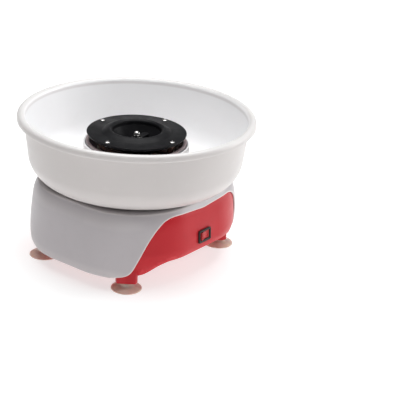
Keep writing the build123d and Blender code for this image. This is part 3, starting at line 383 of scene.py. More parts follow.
def metal(name, colour, shade, rough, grain=(1.0, 1.0, 1.0), grain_size=0.6, depth=0.01):
    """Bare or plated metal: cloudy plating, a directional grain and handling marks."""
    f = Finish(name, {"Metallic": 1.0})
    base = f.blend(f.patches(6), colour, shade)
    marks = f.calc("MULTIPLY", f.scratches(5.0, (1.0, 18.0, 1.0)), 0.35)
    base = f.blend(marks, base, tuple(min(1.0, 1.25 * c) for c in colour))
    lines = f.cloud(grain_size, 3.0, grain)
    roughness = f.calc("ADD", f.wander(f.cloud(4, 4.0), rough - 0.05, rough + 0.08),
                       f.wander(lines, -0.03, 0.03))
    return f.done(base, roughness, f.relief(lines, depth, 0.6))


def turned_metal(name, colour, shade, rough):
    """Metal with the fine rings that turning leaves about the spinner's axis."""
    f = Finish(name, {"Metallic": 1.0})
    rings = f.rings(0.35)
    base = f.blend(f.patches(5, 4.0), colour, shade)
    roughness = f.calc("ADD", f.wander(f.cloud(3, 4.0), rough - 0.04, rough + 0.06),
                       f.wander(rings, -0.03, 0.03))
    return f.done(base, roughness, f.relief(rings, 0.006, 0.5))


def silicone(name):
    """Soft translucent silicone: milky clouds, tiny bubbles and dust on the skin."""
    f = Finish(name, {"Transmission Weight": 0.35, "IOR": 1.41, "Subsurface Weight": 0.25,
                      "Subsurface Scale": 0.004})
    base = f.blend(f.patches(7, 4.0), (0.71, 0.53, 0.45), (0.79, 0.63, 0.55))
    dust = f.span(f.cloud(0.8, 4.0), 0.6, 0.75)
    base = f.blend(f.calc("MULTIPLY", dust, 0.3), base, (0.88, 0.84, 0.80))
    roughness = f.wander(f.cloud(3, 4.0), 0.28, 0.45)
    return f.done(base, roughness, f.relief(f.cloud(0.7, 3.0), 0.03, 0.5))


def black_coating(name):
    """Satin black coating on spun aluminium, with a dusting of sugar and fine rubbed rings."""
    f = Finish(name, {"Specular IOR Level": 0.06})
    tone = f.span(f.cloud(16, 5.0), 0.4, 0.65)
    base = f.blend(tone, (0.008, 0.008, 0.009), (0.014, 0.014, 0.015))
    grains = f.span(f.cloud(0.7, 5.0), 0.66, 0.74)
    where = f.span(f.cloud(22, 3.0), 0.45, 0.7)
    sugar = f.calc("MULTIPLY", f.calc("MULTIPLY", grains, where), 0.35)
    base = f.blend(sugar, base, (0.30, 0.29, 0.29))
    base = f.blend(f.calc("MULTIPLY", f.edges(0.53, 0.6), 0.2), base, (0.16, 0.16, 0.16))
    rings = f.rings(0.5)
    roughness = f.calc("ADD", f.wander(f.cloud(12, 4.0), 0.30, 0.42),
                       f.wander(rings, -0.03, 0.03))
    grit = f.relief(f.cloud(0.6, 2.0), 0.02, 0.5)
    return f.done(base, roughness, f.relief(rings, 0.006, 0.5, grit))


def heated_steel(name):
    """Stainless sheet that heat has coloured in rings, with burnt sugar baked on in streaks."""
    f = Finish(name, {"Metallic": 0.25, "Specular IOR Level": 0.4})
    uneven = f.wander(f.cloud(14, 4.0), -0.005, 0.005)
    ring = f.span(f.calc("ADD", f.radius(), uneven), 0.014, 0.058)
    tint = f.scheme(ring, [(0.0, (0.42, 0.39, 0.38)), (0.3, (0.46, 0.36, 0.28)),
                           (0.5, (0.40, 0.28, 0.26)), (0.66, (0.32, 0.28, 0.32)),
                           (0.82, (0.44, 0.36, 0.36)), (1.0, (0.34, 0.26, 0.27))])
    streak = f.span(f.cloud(9, 6.0, (1.0, 2.6, 1.0)), 0.55, 0.72)
    tint = f.blend(f.calc("MULTIPLY", streak, 0.5), tint, (0.17, 0.06, 0.055))
    roughness = f.wander(f.cloud(5, 5.0), 0.28, 0.55)
    return f.done(tint, roughness, f.relief(f.cloud(3, 5.0), 0.05, 0.5))


def element_sheath(name):
    """Oxidised heating-element sheath: dark scale with rust-brown patches."""
    f = Finish(name, {"Metallic": 0.6})
    base = f.scheme(f.cloud(4, 6.0), [(0.35, (0.05, 0.035, 0.035)), (0.5, (0.13, 0.07, 0.055)),
                                      (0.68, (0.26, 0.13, 0.09))])
    roughness = f.wander(f.cloud(2, 4.0), 0.45, 0.7)
    return f.done(base, roughness, f.relief(f.cloud(0.5, 5.0), 0.05, 0.6))


def mineral(name, colour, shade, speck, rough, size=1.2):
    """Ceramic, ferrite, carbon or laminate: fine speckle in a dry body."""
    f = Finish(name, {})
    base = f.blend(f.patches(6), colour, shade)
    base = f.blend(f.span(f.cloud(size, 5.0), 0.6, 0.72, 0.0, 0.7), base, speck)
    roughness = f.wander(f.cloud(3, 4.0), rough - 0.08, rough + 0.08)
    return f.done(base, roughness, f.relief(f.cloud(0.5, 5.0), 0.03, 0.6))


def rubber(name, colour, shade):
    """Moulded rubber with a bloom on its skin."""
    f = Finish(name, {"Specular IOR Level": 0.35})
    base = f.blend(f.span(f.cloud(5, 5.0), 0.4, 0.7), colour, shade)
    roughness = f.wander(f.cloud(3, 4.0), 0.5, 0.72)
    return f.done(base, roughness, f.relief(f.cloud(0.4, 4.0), 0.03, 0.6))


def sleeve(name):
    """Braided heat-proof sleeve: crossed strands with a dusty tint."""
    f = Finish(name, {"Sheen Weight": 0.3})
    bands = f.add("TexWave", {"Vector": f.place, "Scale": 900.0, "Distortion": 2.0},
                  bands_direction="DIAGONAL").outputs["Fac"]
    base = f.blend(bands, (0.52, 0.50, 0.45), (0.74, 0.71, 0.65))
    base = f.blend(f.span(f.cloud(8, 5.0), 0.5, 0.75, 0.0, 0.5), base, (0.48, 0.38, 0.28))
    roughness = f.wander(f.cloud(2, 4.0), 0.7, 0.9)
    return f.done(base, roughness, f.relief(bands, 0.12, 0.8))


def pale_floor(name):
    """Nearly white studio floor, faintly uneven, that glows a little to soften the shadow."""
    f = Finish(name, {"Emission Color": (1.0, 1.0, 1.0, 1.0), "Emission Strength": 0.64})
    base = f.blend(f.cloud(300), (0.46, 0.46, 0.46), (0.48, 0.48, 0.48))
    roughness = f.wander(f.cloud(80), 0.75, 0.9)
    return f.done(base, roughness, f.relief(f.cloud(2), 0.01, 0.2))


FINISHES = {
    # The cover's cream edge tone at full share is a painted highlight along its edges.
    "cover_white": plastic("cover_white", (0.468, 0.438, 0.453), (0.448, 0.419, 0.433), 0.34,
                           (0.86, 0.81, 0.78), rubbed=1.0),
    "bowl_white": bowl_plastic("bowl_white"),
    "tub_red": plastic("tub_red", (0.51, 0.009, 0.017), (0.47, 0.007, 0.014), 0.36,
                       (0.68, 0.05, 0.06), constants={"Specular IOR Level": 0.28}),
    "rocker_red": plastic("rocker_red", (0.40, 0.008, 0.014), (0.36, 0.006, 0.011), 0.26,
                          (0.66, 0.07, 0.07), constants={"Specular IOR Level": 0.2}),
    "black_plastic": plastic("black_plastic", (0.012, 0.008, 0.007), (0.018, 0.013, 0.012), 0.38,
                             (0.06, 0.05, 0.045), constants={"Specular IOR Level": 0.2}),
    "cup_silicone": silicone("cup_silicone"),
    "head_black": black_coating("head_black"),
    "pan_steel": heated_steel("pan_steel"),
    "element_sheath": element_sheath("element_sheath"),
    "bright_steel": metal("bright_steel", (0.42, 0.41, 0.40), (0.34, 0.335, 0.33), 0.22,
                          (1.0, 1.0, 6.0)),
    "zinc_steel": metal("zinc_steel", (0.60, 0.61, 0.60), (0.48, 0.48, 0.46), 0.36),
    "motor_steel": metal("motor_steel", (0.56, 0.56, 0.57), (0.47, 0.47, 0.48), 0.32,
                         (1.0, 1.0, 14.0)),
    "bronze": turned_metal("bronze", (0.52, 0.33, 0.15), (0.40, 0.24, 0.11), 0.42),
    "copper": metal("copper", (0.70, 0.30, 0.16), (0.55, 0.20, 0.10), 0.30, (1.0, 1.0, 22.0),
                    0.9, 0.08),
    "brass_blade": metal("brass_blade", (0.76, 0.58, 0.28), (0.64, 0.47, 0.22), 0.30,
                         (1.0, 1.0, 8.0)),
    "ceramic": mineral("ceramic", (0.74, 0.69, 0.61), (0.66, 0.60, 0.52), (0.42, 0.34, 0.27), 0.7),
    "magnet": mineral("magnet", (0.045, 0.045, 0.048), (0.065, 0.062, 0.06),
                      (0.12, 0.11, 0.11), 0.6),
    "carbon": mineral("carbon", (0.025, 0.025, 0.026), (0.04, 0.04, 0.04), (0.12, 0.10, 0.09), 0.5),
    "board_green": mineral("board_green", (0.025, 0.13, 0.05), (0.02, 0.10, 0.04),
                           (0.10, 0.22, 0.10), 0.35, 2.0),
    "black_rubber": rubber("black_rubber", (0.018, 0.018, 0.018), (0.04, 0.038, 0.036)),
    "lead_cover": sleeve("lead_cover"),
}
for part in frame["record"]["subparts"]:
    node = frame["nodes"][part["node"]]
    node.data.materials.clear()
    node.data.materials.append(FINISHES[part["material_slot"]])

# ---------------------------------------------------------------- cover
CORNER = 84.5
CORE_X, CORE_Y = 28.4, 21.0
COVER_BOTTOM, COVER_TOP = 16.0, 91.0
# How far the wall stands inside the body's widest outline, by height.
COVER_DRAW_IN = [(16.0, 2.2), (22.0, 0.6), (34.0, 0.0), (50.0, 0.6), (64.0, 1.7), (76.0, 3.0),
                 (84.0, 5.3), (91.0, 8.8)]
# The lower edge seen from the front, as x and z from a corner's lowest point to the middle.
LOBE_EDGE = [(-103.5, 15.9), (-93.6, 22.8), (-87.8, 37.8), (-82.4, 51.2), (-76.6, 63.0),
             (-69.0, 74.2), (-59.5, 82.0), (-46.0, 85.0), (0.0, 82.7)]
COVER_WALL, COVER_ROOF = 1.7, 2.4
CEILING = COVER_TOP - COVER_ROOF
EDGE_BAND = 2.4
OUTER_ROUND, INNER_ROUND = 1.25, 0.3
SKIN_TOP = 89.0
SHOULDER_START, SHOULDER_END_INSET, SHOULDER_ROUND = 87.0, 20.0, 2.5
TOWER_R, TOWER_WALL, TOWER_TOP = 56.4, 2.0, top_of("upper_housing")
TOWER_BORE_R = TOWER_R - TOWER_WALL
TOWER_SKIRT = 8.0
DECK_BOTTOM, DECK_TOP, DECK_HOLE_R = 104.0, 106.4, 20.0
EDGE_GUESS, EDGE_STEPS = 50.0, 40
COLUMNS, WALL_ROWS = 720, 16
ROOF_SHARES = (0.33, 0.66)

ARC_LENGTH = math.pi / 2 * CORNER
ROUND = 4 * (ARC_LENGTH + CORE_X + CORE_Y)


def outline(s):
    """Core point and outward direction at s millimetres round the body, from the front's middle
    towards the right."""
    s %= ROUND
    runs = [((0, -CORE_Y), CORE_X, 0, -90), ((CORE_X, -CORE_Y), ARC_LENGTH, None, -90),
            ((CORE_X, -CORE_Y), 2 * CORE_Y, 90, 0), ((CORE_X, CORE_Y), ARC_LENGTH, None, 0),
            ((CORE_X, CORE_Y), 2 * CORE_X, 180, 90), ((-CORE_X, CORE_Y), ARC_LENGTH, None, 90),
            ((-CORE_X, CORE_Y), 2 * CORE_Y, 270, 180), ((-CORE_X, -CORE_Y), ARC_LENGTH, None, 180),
            ((-CORE_X, -CORE_Y), CORE_X, 0, 270)]
    for start, length, heading, facing in runs:
        if s <= length:
            break
        s -= length
    if heading is None:
        return Vector(start), Vector(on_ring(1.0, facing + 90 * s / length))
    return Vector(start) + Vector(on_ring(1.0, heading)) * s, Vector(on_ring(1.0, facing))


def on_body(s, z, inset):
    """Point at height z, a given distance inside the body's widest outline."""
    core, out = outline(s)
    flat = core + out * (CORNER - inset)
    return (flat.x, flat.y, z)


def on_cover(s, z, depth):
    """Point at height z, depth millimetres inside the cover's outer face."""
    return on_body(s, z, height_at(COVER_DRAW_IN, z) + depth)


def edge_at(s):
    """Height of the cover's lower edge at s. The wall leans, so its x depends on the height, and
    the height is closed in on step by step."""
    z = EDGE_GUESS
    for _ in range(EDGE_STEPS):
        x, _, _ = on_cover(s, z, 0.0)
        z += 0.5 * (max(COVER_BOTTOM, height_at(LOBE_EDGE, -abs(x))) - z)
    return z


stations = [ROUND * k / COLUMNS for k in range(COLUMNS)]
low_edge = [edge_at(s) for s in stations]
leans = []
for k in range(COLUMNS):
    rise = (low_edge[(k + 1) % COLUMNS] - low_edge[k - 1]) / (2 * ROUND / COLUMNS)
    leans.append(Vector((-rise, 1.0)).normalized())


def cover_row(depth, up, share=0.0, top=0.0):
    """A row of the cover's wall: up millimetres square to its lower edge, then share of the way
    from there to the height top."""
    row = []
    for s, z, lean in zip(stations, low_edge, leans):
        z_here = z + up * lean.y
        row.append(on_cover(s + up * lean.x * (1 - share), z_here + (top - z_here) * share, depth))
    return row


def outline_row(inset, z):
    """A row round the body at one height, a given distance inside its widest outline."""
    return [on_body(s, z, inset) for s in stations]


def tower_row(radius, z):
    """A row round the tower, with its points in line with those of the outline."""
    row = []
    for x, y, _ in outline_row(10.0, z):
        length = math.hypot(x, y)
        row.append((x / length * radius, y / length * radius, z))
    return row


def between(row_a, row_b):
    """Rows that carry a flat surface on from one row to another."""
    return [[tuple(Vector(a).lerp(Vector(b), share)) for a, b in zip(row_a, row_b)]
            for share in ROOF_SHARES]


edge = rounded([(COVER_WALL, EDGE_BAND), (COVER_WALL, 0.0, INNER_ROUND), (0.0, 0.0, OUTER_ROUND),
                (0.0, EDGE_BAND)], steps=5, closed=False)
rows = [cover_row(depth, up) for depth, up in edge]
rows += [cover_row(0.0, EDGE_BAND, k / WALL_ROWS, SKIN_TOP) for k in range(1, WALL_ROWS + 1)]
shoulder = rounded([(height_at(COVER_DRAW_IN, SHOULDER_START), SHOULDER_START),
                    (COVER_DRAW_IN[-1][1], COVER_TOP, SHOULDER_ROUND),
                    (SHOULDER_END_INSET, COVER_TOP)], steps=6, closed=False)[1:-1]
rows += [outline_row(inset, z) for inset, z in shoulder]
tower = rounded([(TOWER_R + TOWER_SKIRT, COVER_TOP), (TOWER_R, COVER_TOP, 1.5),
                 (TOWER_R, TOWER_TOP, 0.5), (TOWER_BORE_R, TOWER_TOP, 0.4),
                 (TOWER_BORE_R, DECK_TOP, 1.0), (DECK_HOLE_R, DECK_TOP, 0.5),
                 (DECK_HOLE_R, DECK_BOTTOM, 0.5), (TOWER_BORE_R, DECK_BOTTOM, 1.0),
                 (TOWER_BORE_R, CEILING)], steps=4, closed=False)
rows += between(rows[-1], tower_row(*tower[0]))
rows += [tower_row(radius, z) for radius, z in tower]
rows += between(rows[-1], cover_row(COVER_WALL, EDGE_BAND, 1.0, CEILING))
rows += [cover_row(COVER_WALL, EDGE_BAND, k / WALL_ROWS, CEILING) for k in range(WALL_ROWS, 0, -1)]
piece("cover_shell", "base", "cover_white", [skin(rows, wrap=True)], ["upper_housing"], 32.0)

# Bosses that take the housing screws, hold up the pan and carry the motor bracket.
FOOT_BOSS_R, FOOT_BORE_R, FOOT_BORE_TOP, FOOT_BOSS_BOTTOM = 3.7, 2.05, 51.8, 36.8
PAN_BOSS_AT = [on_ring(26, degrees) for degrees in (30, 150, 270)]
PAN_BOSS_R, PAN_BORE_R = 4, 1.3
BRACKET_BOSS_AT = [on_ring(38, degrees) for degrees in (90, 210, 330)]
BRACKET_BOSS_R, BRACKET_BOSS_TOP = 4.5, 112.9
BRACKET_BORE_R, BRACKET_BORE_TOP = 1.55, 111.5
BOSS_STEPS = 32
foot_boss = [(0, FOOT_BORE_TOP), (FOOT_BORE_R, FOOT_BORE_TOP), (FOOT_BORE_R, FOOT_BOSS_BOTTOM),
             (FOOT_BOSS_R, FOOT_BOSS_BOTTOM), (FOOT_BOSS_R, CEILING), (0, CEILING)]
pan_boss = [(PAN_BORE_R, DECK_TOP), (PAN_BOSS_R, DECK_TOP), (PAN_BOSS_R, PAN_FLOOR),
            (PAN_BORE_R, PAN_FLOOR)]
bracket_boss = [(0, BRACKET_BORE_TOP), (BRACKET_BORE_R, BRACKET_BORE_TOP),
                (BRACKET_BORE_R, DECK_TOP), (BRACKET_BOSS_R, DECK_TOP),
                (BRACKET_BOSS_R, BRACKET_BOSS_TOP), (0, BRACKET_BOSS_TOP)]
bosses = [turned(foot_boss, BOSS_STEPS, at, closed=False) for at in FEET.values()]
bosses += [turned(pan_boss, BOSS_STEPS, at) for at in PAN_BOSS_AT]
bosses += [turned(bracket_boss, BOSS_STEPS, at, closed=False) for at in BRACKET_BOSS_AT]
piece("cover_bosses", "base", "cover_white", bosses, sharp=32.0)

# ---------------------------------------------------------------- bowl
# The wall runs from the collar round the tower, through a fillet, the flat dish and the belly to
# the flared side, and ends in a rim that rolls outwards.
BOWL_WALL = 2.0
COLLAR_R, COLLAR_TIP, COLLAR_ROUND = 59.4, 133.2, 1.0
FILLET_AT, FILLET_R = (74.4, 107.4), 16.0
BELLY_AT, BELLY_R, BELLY_END = (91.1, 122.9), 31.5, 353.2
FLARE_OUTER, FLARE_INNER = (125.0, 141.14), (123.0, 141.2)
ROLL_INSIDE_AT, ROLL_INSIDE_R = (130.32, 163.35), 2.67
ROLL_AT, ROLL_R = (130.33, 163.33), 4.65
LIP_AT, LIP_R = (133.98, 161.35), 1.0
bowl = arc((COLLAR_R, COLLAR_TIP), COLLAR_ROUND, 0, 180)
bowl += arc(FILLET_AT, FILLET_R, 180, 270, 14)
bowl += arc(BELLY_AT, BELLY_R, 270, BELLY_END, 26)
bowl.append(FLARE_OUTER)
bowl += arc(ROLL_INSIDE_AT, ROLL_INSIDE_R, 180, 0, 12)
bowl += arc(LIP_AT, LIP_R, 180, 360, 8)
bowl += arc(ROLL_AT, ROLL_R, 0, 180, 24)
bowl.append(FLARE_INNER)
bowl += arc(BELLY_AT, BELLY_R - BOWL_WALL, BELLY_END, 270, 26)
bowl += arc(FILLET_AT, FILLET_R - BOWL_WALL, 270, 180, 14)
piece("bowl_shell", "bowl", "bowl_white", [turned(bowl, 288)], ["bowl"])

# ---------------------------------------------------------------- suction cups
CUP_R, CUP_LIP, CUP_SOLE_R = 17.3, 1.0, 15.7
NECK_R, NECK_TOP = 7.4, 7.9
STEM_R, STEM_TOP = 4.9, top_of("suction_cup_front_left")
for place, at in FEET.items():
    cup = rounded([(CUP_SOLE_R, 0.0), (CUP_R, 0.0, 0.25), (CUP_R, CUP_LIP, 0.45),
                   (16.2, 1.25, 0.4), (12.4, 2.9, 3.0), (9.4, 4.2, 1.0), (8.0, 5.4, 0.8),
                   (NECK_R, NECK_TOP, 0.3), (STEM_R, NECK_TOP, 0.2), (STEM_R, STEM_TOP, 0.4),
                   (0.0, STEM_TOP)], steps=4, closed=False)
    hollow = through([(3.0, 2.95), (8.6, 2.2), (12.6, 1.2), (CUP_SOLE_R, 0.0)])[:-1]
    cup += [(0.0, 3.0)] + hollow
    piece("cup_" + place, "base", "cup_silicone", [turned(cup, 96, at)],
          ["suction_cup_" + place], 60.0)

# ---------------------------------------------------------------- heater pan
PAN_TOP = top_of("heater_pan")
PAN_SHEET = 0.8
PAN_RIM_R, PAN_WALL_R, PAN_HOLE_R = 57.2, 54.2, 8.0
BEAD_FOOT_R, BEAD_FOOT_INNER_R, BEAD_SIDE, BEAD_RISE = 37.5, 31.5, 1.0, 0.9
UNDER_RIM = PAN_TOP - PAN_SHEET
PAN_INNER_R = PAN_WALL_R - PAN_SHEET
FLOOR_TOP = PAN_FLOOR + PAN_SHEET
pan = rounded([(PAN_RIM_R, UNDER_RIM), (PAN_WALL_R, UNDER_RIM, 0.5), (PAN_WALL_R, PAN_FLOOR, 6.8),
               (BEAD_FOOT_R, PAN_FLOOR, 1.0), (BEAD_FOOT_R - BEAD_SIDE, PAN_FLOOR + BEAD_RISE, 1.0),
               (BEAD_FOOT_INNER_R + BEAD_SIDE, PAN_FLOOR + BEAD_RISE, 1.0),
               (BEAD_FOOT_INNER_R, PAN_FLOOR, 1.0), (PAN_HOLE_R, PAN_FLOOR),
               (PAN_HOLE_R, FLOOR_TOP), (31.2, FLOOR_TOP, 0.6), (32.2, FLOOR_TOP + BEAD_RISE, 1.0),
               (36.8, FLOOR_TOP + BEAD_RISE, 1.0), (37.8, FLOOR_TOP, 0.6),
               (PAN_INNER_R, FLOOR_TOP, 6.0), (PAN_INNER_R, PAN_TOP, 1.0),
               (PAN_RIM_R, PAN_TOP, 0.35)], steps=5)
piece("pan_dish", "base", "pan_steel", [turned(pan, 192)], ["heater_pan"])

# ---------------------------------------------------------------- spinner head
# The disc's flat lies at HEAD_TOP; a raised ridge runs round its open middle.
HEAD_TOP = 146.2
RIDGE_OVER = [(40.0, HEAD_TOP), (35.5, 148.6), (31.2, 149.9), (28.4, 148.4), (27.8, 144.9)]
RIDGE_UNDER = [(29.0, 144.9), (29.5, 147.8), (31.3, 148.6), (34.9, 147.2), (40.0, 144.7)]
DISC_EDGE_AT, DISC_EDGE_ROUND = (56.05, 145.45), 0.75
plate = through(RIDGE_OVER, 10) + through(RIDGE_UNDER, 10)
plate += arc(DISC_EDGE_AT, DISC_EDGE_ROUND, -90, 90, 8)
piece("head_plate", "head", "head_black", [turned(plate, 192)], ["head_upper_plate"])

POT_SHEET, POT_FLANGE = 1.2, 143.0
POT_BOTTOM, POT_HOLE_R = low_of("head_lower_plate"), 6.53
POT_FLOOR_R, POT_MOUTH_R, POT_FLANGE_R = 15.5, 28.6, 55.5
pot = rounded([(POT_HOLE_R, POT_BOTTOM), (POT_FLOOR_R, POT_BOTTOM, 2.2),
               (POT_MOUTH_R, POT_FLANGE, 2.0), (POT_FLANGE_R, POT_FLANGE, 0.4),
               (POT_FLANGE_R, POT_FLANGE + POT_SHEET, 0.4), (27.7, POT_FLANGE + POT_SHEET, 1.0),
               (14.8, POT_BOTTOM + POT_SHEET, 1.2), (POT_HOLE_R, POT_BOTTOM + POT_SHEET)], steps=5)
piece("head_pot", "head", "head_black", [turned(pot, 192)], ["head_lower_plate"])

RIVET_RING_R, RIVET_TURN = 51.0, 1.0
TAIL_R, TAIL_BOTTOM = 2.8, 142.05
SHANK_R = 1.6
rivet = rounded([(0.0, TAIL_BOTTOM), (TAIL_R, TAIL_BOTTOM, 0.4), (TAIL_R, POT_FLANGE),
                 (SHANK_R, POT_FLANGE), (SHANK_R, HEAD_TOP), (3.0, HEAD_TOP, 0.1),
                 (2.9, 146.9, 0.5), (1.6, 147.5, 0.6), (1.2, 147.3, 0.2), (1.1, 145.8, 0.3),
                 (0.0, 145.7)], steps=4, closed=False)
rivets = [turned(rivet, 40, on_ring(RIVET_RING_R, RIVET_TURN + 90 * quarter), closed=False)
          for quarter in range(4)]
piece("rivets", "head", "bright_steel", rivets, ["head_rivets"])


def stadium(length, width, inset, z, turn):
    """A bar's rounded outline at height z, drawn in by inset."""
    radius = width / 2 - inset
    reach = length / 2 - width / 2
    points = [(reach + x, y) for x, y in arc((0, 0), radius, -90, 90, 20)]
    points += [(x - reach, y) for x, y in arc((0, 0), radius, 90, 270, 20)]
    c, s = math.cos(turn), math.sin(turn)
    return [(x * c - y * s, x * s + y * c, z) for x, y in points]


BAR_LENGTH, BAR_WIDTH = 45.2, 8.0
BAR_BOTTOM, BAR_TOP = low_of("stirrer_bar"), top_of("stirrer_bar")
BAR_TURN = math.radians(8)
bar_side = rounded([(2.0, BAR_BOTTOM), (0.0, BAR_BOTTOM, 0.3), (0.0, BAR_TOP, 0.7),
                    (2.0, BAR_TOP)], steps=4, closed=False)
bar = [stadium(BAR_LENGTH, BAR_WIDTH, inset, z, BAR_TURN) for inset, z in bar_side]
piece("stirrer", "head", "head_black", [skin(bar, caps=True)], ["stirrer_bar"])

WASHER_R, WASHER_HOLE_R, WASHER_TOP = 5.6, 2.6, top_of("head_washer")
washer = rounded([(WASHER_HOLE_R, BAR_TOP, 0.1), (WASHER_R, BAR_TOP, 0.25),
                  (WASHER_R, WASHER_TOP, 0.3), (WASHER_HOLE_R, WASHER_TOP, 0.1)], steps=3)
NUT_STEPS = 96
HEX_CORNER_R, HEX_END_R, HEX_CHAMFER = 4.6, 4.05, 1.7
HEX_TOP = 142.4
DOME_R, DOME_CENTRE, DOME_END = 3.9, 142.6, 86
NUT_TOP = top_of("dome_nut")


def hexagon_row(z):
    """A row of the nut's hexagon, turned down to a chamfer at its two ends."""
    chamfer = HEX_END_R + HEX_CHAMFER * min(z - WASHER_TOP, HEX_TOP - z)
    row = []
    for k in range(NUT_STEPS):
        angle = 2 * math.pi * k / NUT_STEPS
        in_face = angle % (math.pi / 3) - math.pi / 6
        radius = min(HEX_CORNER_R * math.cos(math.pi / 6) / math.cos(in_face), chamfer)
        row.append((radius * math.cos(angle), radius * math.sin(angle), z))
    return row


nut_heights = [WASHER_TOP + up for up in (0.0, 0.15, 0.35, 0.6, 1.6)]
nut_heights += [HEX_TOP - down for down in (0.8, 0.5, 0.3, 0.15, 0.0)]
nut = [[(0.0, 0.0, WASHER_TOP)]] + [hexagon_row(z) for z in nut_heights]
for radius, z in [(DOME_R, HEX_TOP)] + arc((0, DOME_CENTRE), DOME_R, 0, DOME_END, 12):
    nut.append([(*on_ring(radius, 360 * k / NUT_STEPS), z) for k in range(NUT_STEPS)])
nut.append([(0.0, 0.0, NUT_TOP)])
piece("cap_nut", "head", "bright_steel", [turned(washer, 64), skin(nut)],
      ["dome_nut", "head_washer"], 28.0)

# ---------------------------------------------------------------- switch
# Both switch pieces are drawn on the switch's face, with z outwards, and laid on the sloping wall.
FACE_SLOPE = 0.056857
FACE_TILT = math.hypot(1.0, FACE_SLOPE)
FACE_AT = (0.0, -103.034, 50.2)
on_face = Matrix((
    (1.0, 0.0, 0.0, FACE_AT[0]),
    (0.0, FACE_SLOPE / FACE_TILT, -1.0 / FACE_TILT, FACE_AT[1]),
    (0.0, 1.0 / FACE_TILT, FACE_SLOPE / FACE_TILT, FACE_AT[2]),
    (0.0, 0.0, 0.0, 1.0),
))


def block_row(width, height, radius, z):
    """A rounded rectangle about the origin at height z."""
    x, y = width / 2, height / 2
    return [(*p, z) for p in rounded([(x, -y, radius), (x, y, radius), (-x, y, radius),
                                      (-x, -y, radius)], steps=6)]


BEZEL_W, BEZEL_H, BEZEL = 21.0, 15.0, 2.2
POCKET_W, POCKET_H, POCKET_FLOOR = 16.2, 9.6, -6.9
BODY_W, BODY_H, BODY_END = 18.8, 12.6, -18.0
# Rows from the pocket's floor up its sides, over the bezel and down the body behind the panel.
case_rows = [block_row(*row) for row in (
    (POCKET_W - 0.2, POCKET_H - 0.2, 0.4, POCKET_FLOOR - 0.1),
    (POCKET_W, POCKET_H, 0.5, POCKET_FLOOR), (POCKET_W, POCKET_H, 0.5, 1.3),
    (16.5, 9.9, 0.6, 1.55), (17.6, 11.0, 0.9, 1.8), (18.2, 11.6, 1.1, 2.1),
    (18.6, 12.0, 1.2, BEZEL), (19.9, 13.9, 1.3, BEZEL), (20.5, 14.5, 1.4, 2.08),
    (20.85, 14.85, 1.5, 1.8), (BEZEL_W, BEZEL_H, 1.6, 1.4), (BEZEL_W, BEZEL_H, 1.6, 0.15),
    (BEZEL_W - 0.2, BEZEL_H - 0.2, 1.6, 0.0), (BODY_W, BODY_H, 0.5, 0.0),
    (BODY_W, BODY_H, 0.5, BODY_END + 0.4), (BODY_W - 0.6, BODY_H - 0.6, 0.4, BODY_END))]
case = placed(skin(case_rows, caps=True), on_face)
piece("switch_case", "base", "black_plastic", [case], ["switch_body"], 40.0)

PIVOT_DEPTH = 1.5
REST_TURN = math.radians(9)
ROCKER_TIP, ROCKER_FOOT = (7.3, 3.5), (6.7, -1.6)
HOLLOW_FACE, FACE_MIDDLE = [(3.0, 2.66), (5.6, 3.12)], (0.0, 2.4)
BELLY_POINT, BELLY_MIDDLE = (3.6, -2.95), (0.0, -3.4)
# The rocker's section along its width, as y and how much its edges are rounded off there.
ROCKER_SIDE = [(4.2, 0.0), (4.42, 0.12), (4.5, 0.35)]
RIB_W, RIB_LENGTH = 0.34, 6.0


def mirrored(half, middle):
    """A left-to-right run of points from its right half, from the middle out."""
    return [(-x, z) for x, z in reversed(half)] + [middle] + half


face = through(mirrored([*HOLLOW_FACE, ROCKER_TIP], FACE_MIDDLE), 4)
belly = through(mirrored([BELLY_POINT, ROCKER_FOOT], BELLY_MIDDLE)[::-1], 4)
section = belly[-1:] + face + belly[:-1]
rocker_rows = []
for y, inset in [(-y, inset) for y, inset in reversed(ROCKER_SIDE)] + ROCKER_SIDE:
    rocker_rows.append([(x * (1 - inset / ROCKER_TIP[0]), y, z * (1 - inset / ROCKER_TIP[1]))
                        for x, z in section])
tilt = Matrix.Rotation(REST_TURN, 4, "Y")
on_pivot = on_face @ Matrix.Translation((0.0, 0.0, -PIVOT_DEPTH)) @ tilt
shapes = [placed(skin(rocker_rows, caps=True), on_pivot)]
rib_face = mirrored([HOLLOW_FACE[0], ROCKER_TIP], FACE_MIDDLE)
for x in (-6.0, -5.2, -4.4, 4.4, 5.2, 6.0):
    top = height_at(rib_face, x)
    rib = [block_row(RIB_W, RIB_LENGTH, 0.15, top - 0.2),
           block_row(RIB_W, RIB_LENGTH, 0.15, top + 0.12),
           block_row(RIB_W - 0.18, RIB_LENGTH - 0.2, 0.07, top + 0.22)]
    shapes.append(placed(skin(rib, caps=True), on_pivot @ Matrix.Translation((x, 0.0, 0.0))))
piece("rocker", "rocker", "rocker_red", shapes, ["rocker_button"], 40.0)

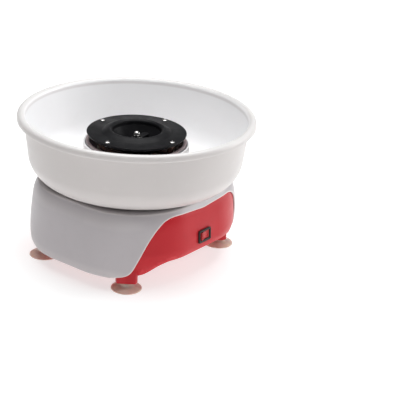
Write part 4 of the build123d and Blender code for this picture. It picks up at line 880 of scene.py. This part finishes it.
# ---------------------------------------------------------------- set, light and camera
REACH = 9.0
ground = bpy.data.meshes.new("ground")
ground.from_pydata([(-REACH, -REACH, 0), (REACH, -REACH, 0), (REACH, REACH, 0), (-REACH, REACH, 0)],
                   [], [(0, 1, 2, 3)])
ground.materials.append(pale_floor("ground"))
ground_object = bpy.data.objects.new("ground", ground)
bpy.context.scene.collection.objects.link(ground_object)

world = bpy.data.worlds.new("studio")
world.use_nodes = True
sky = world.node_tree.nodes["Background"]
sky.inputs["Color"].default_value = (1.0, 1.0, 1.0, 1.0)
sky.inputs["Strength"].default_value = 0.18
bpy.context.scene.world = world
bpy.context.scene.view_settings.view_transform = "Standard"


def softbox(name, position, target, width, height, power):
    """A rectangular area light that faces a target point."""
    light = bpy.data.lights.new(name, "AREA")
    light.shape = "RECTANGLE"
    light.size, light.size_y = width, height
    light.energy = power
    made = bpy.data.objects.new(name, light)
    bpy.context.scene.collection.objects.link(made)
    made.location = position
    aim = Vector(target) - Vector(position)
    made.rotation_mode = "QUATERNION"
    made.rotation_quaternion = aim.to_track_quat("-Z", "Y")


softbox("overhead", (0.25, 0.15, 2.0), (0.0, 0.0, 0.1), 1.8, 1.8, 59.0)
softbox("right_side", (1.4, -1.0, 0.60), (0.0, 0.0, 0.08), 1.0, 0.9, 15.0)
softbox("front_low", (-1.5, -1.3, 0.30), (0.0, 0.0, 0.06), 1.6, 0.5, 5.0)

CAMERA_AT = (-1.1210, -0.9341, 0.6838)
forward = Vector((0.7370, 0.5518, -0.3903)).normalized()
right = forward.cross(Vector((0.2784, 0.2784, 0.9192))).normalized()
up = right.cross(forward)
camera_data = bpy.data.cameras.new("camera")
camera_data.sensor_width = 36.0
camera_data.lens = 123.22
camera_data.clip_end = 50.0
camera = bpy.data.objects.new("camera", camera_data)
bpy.context.scene.collection.objects.link(camera)
camera.matrix_world = Matrix.Translation(CAMERA_AT) @ Matrix((
    (right.x, up.x, -forward.x, 0.0), (right.y, up.y, -forward.y, 0.0),
    (right.z, up.z, -forward.z, 0.0), (0.0, 0.0, 0.0, 1.0)))
bpy.context.scene.camera = camera
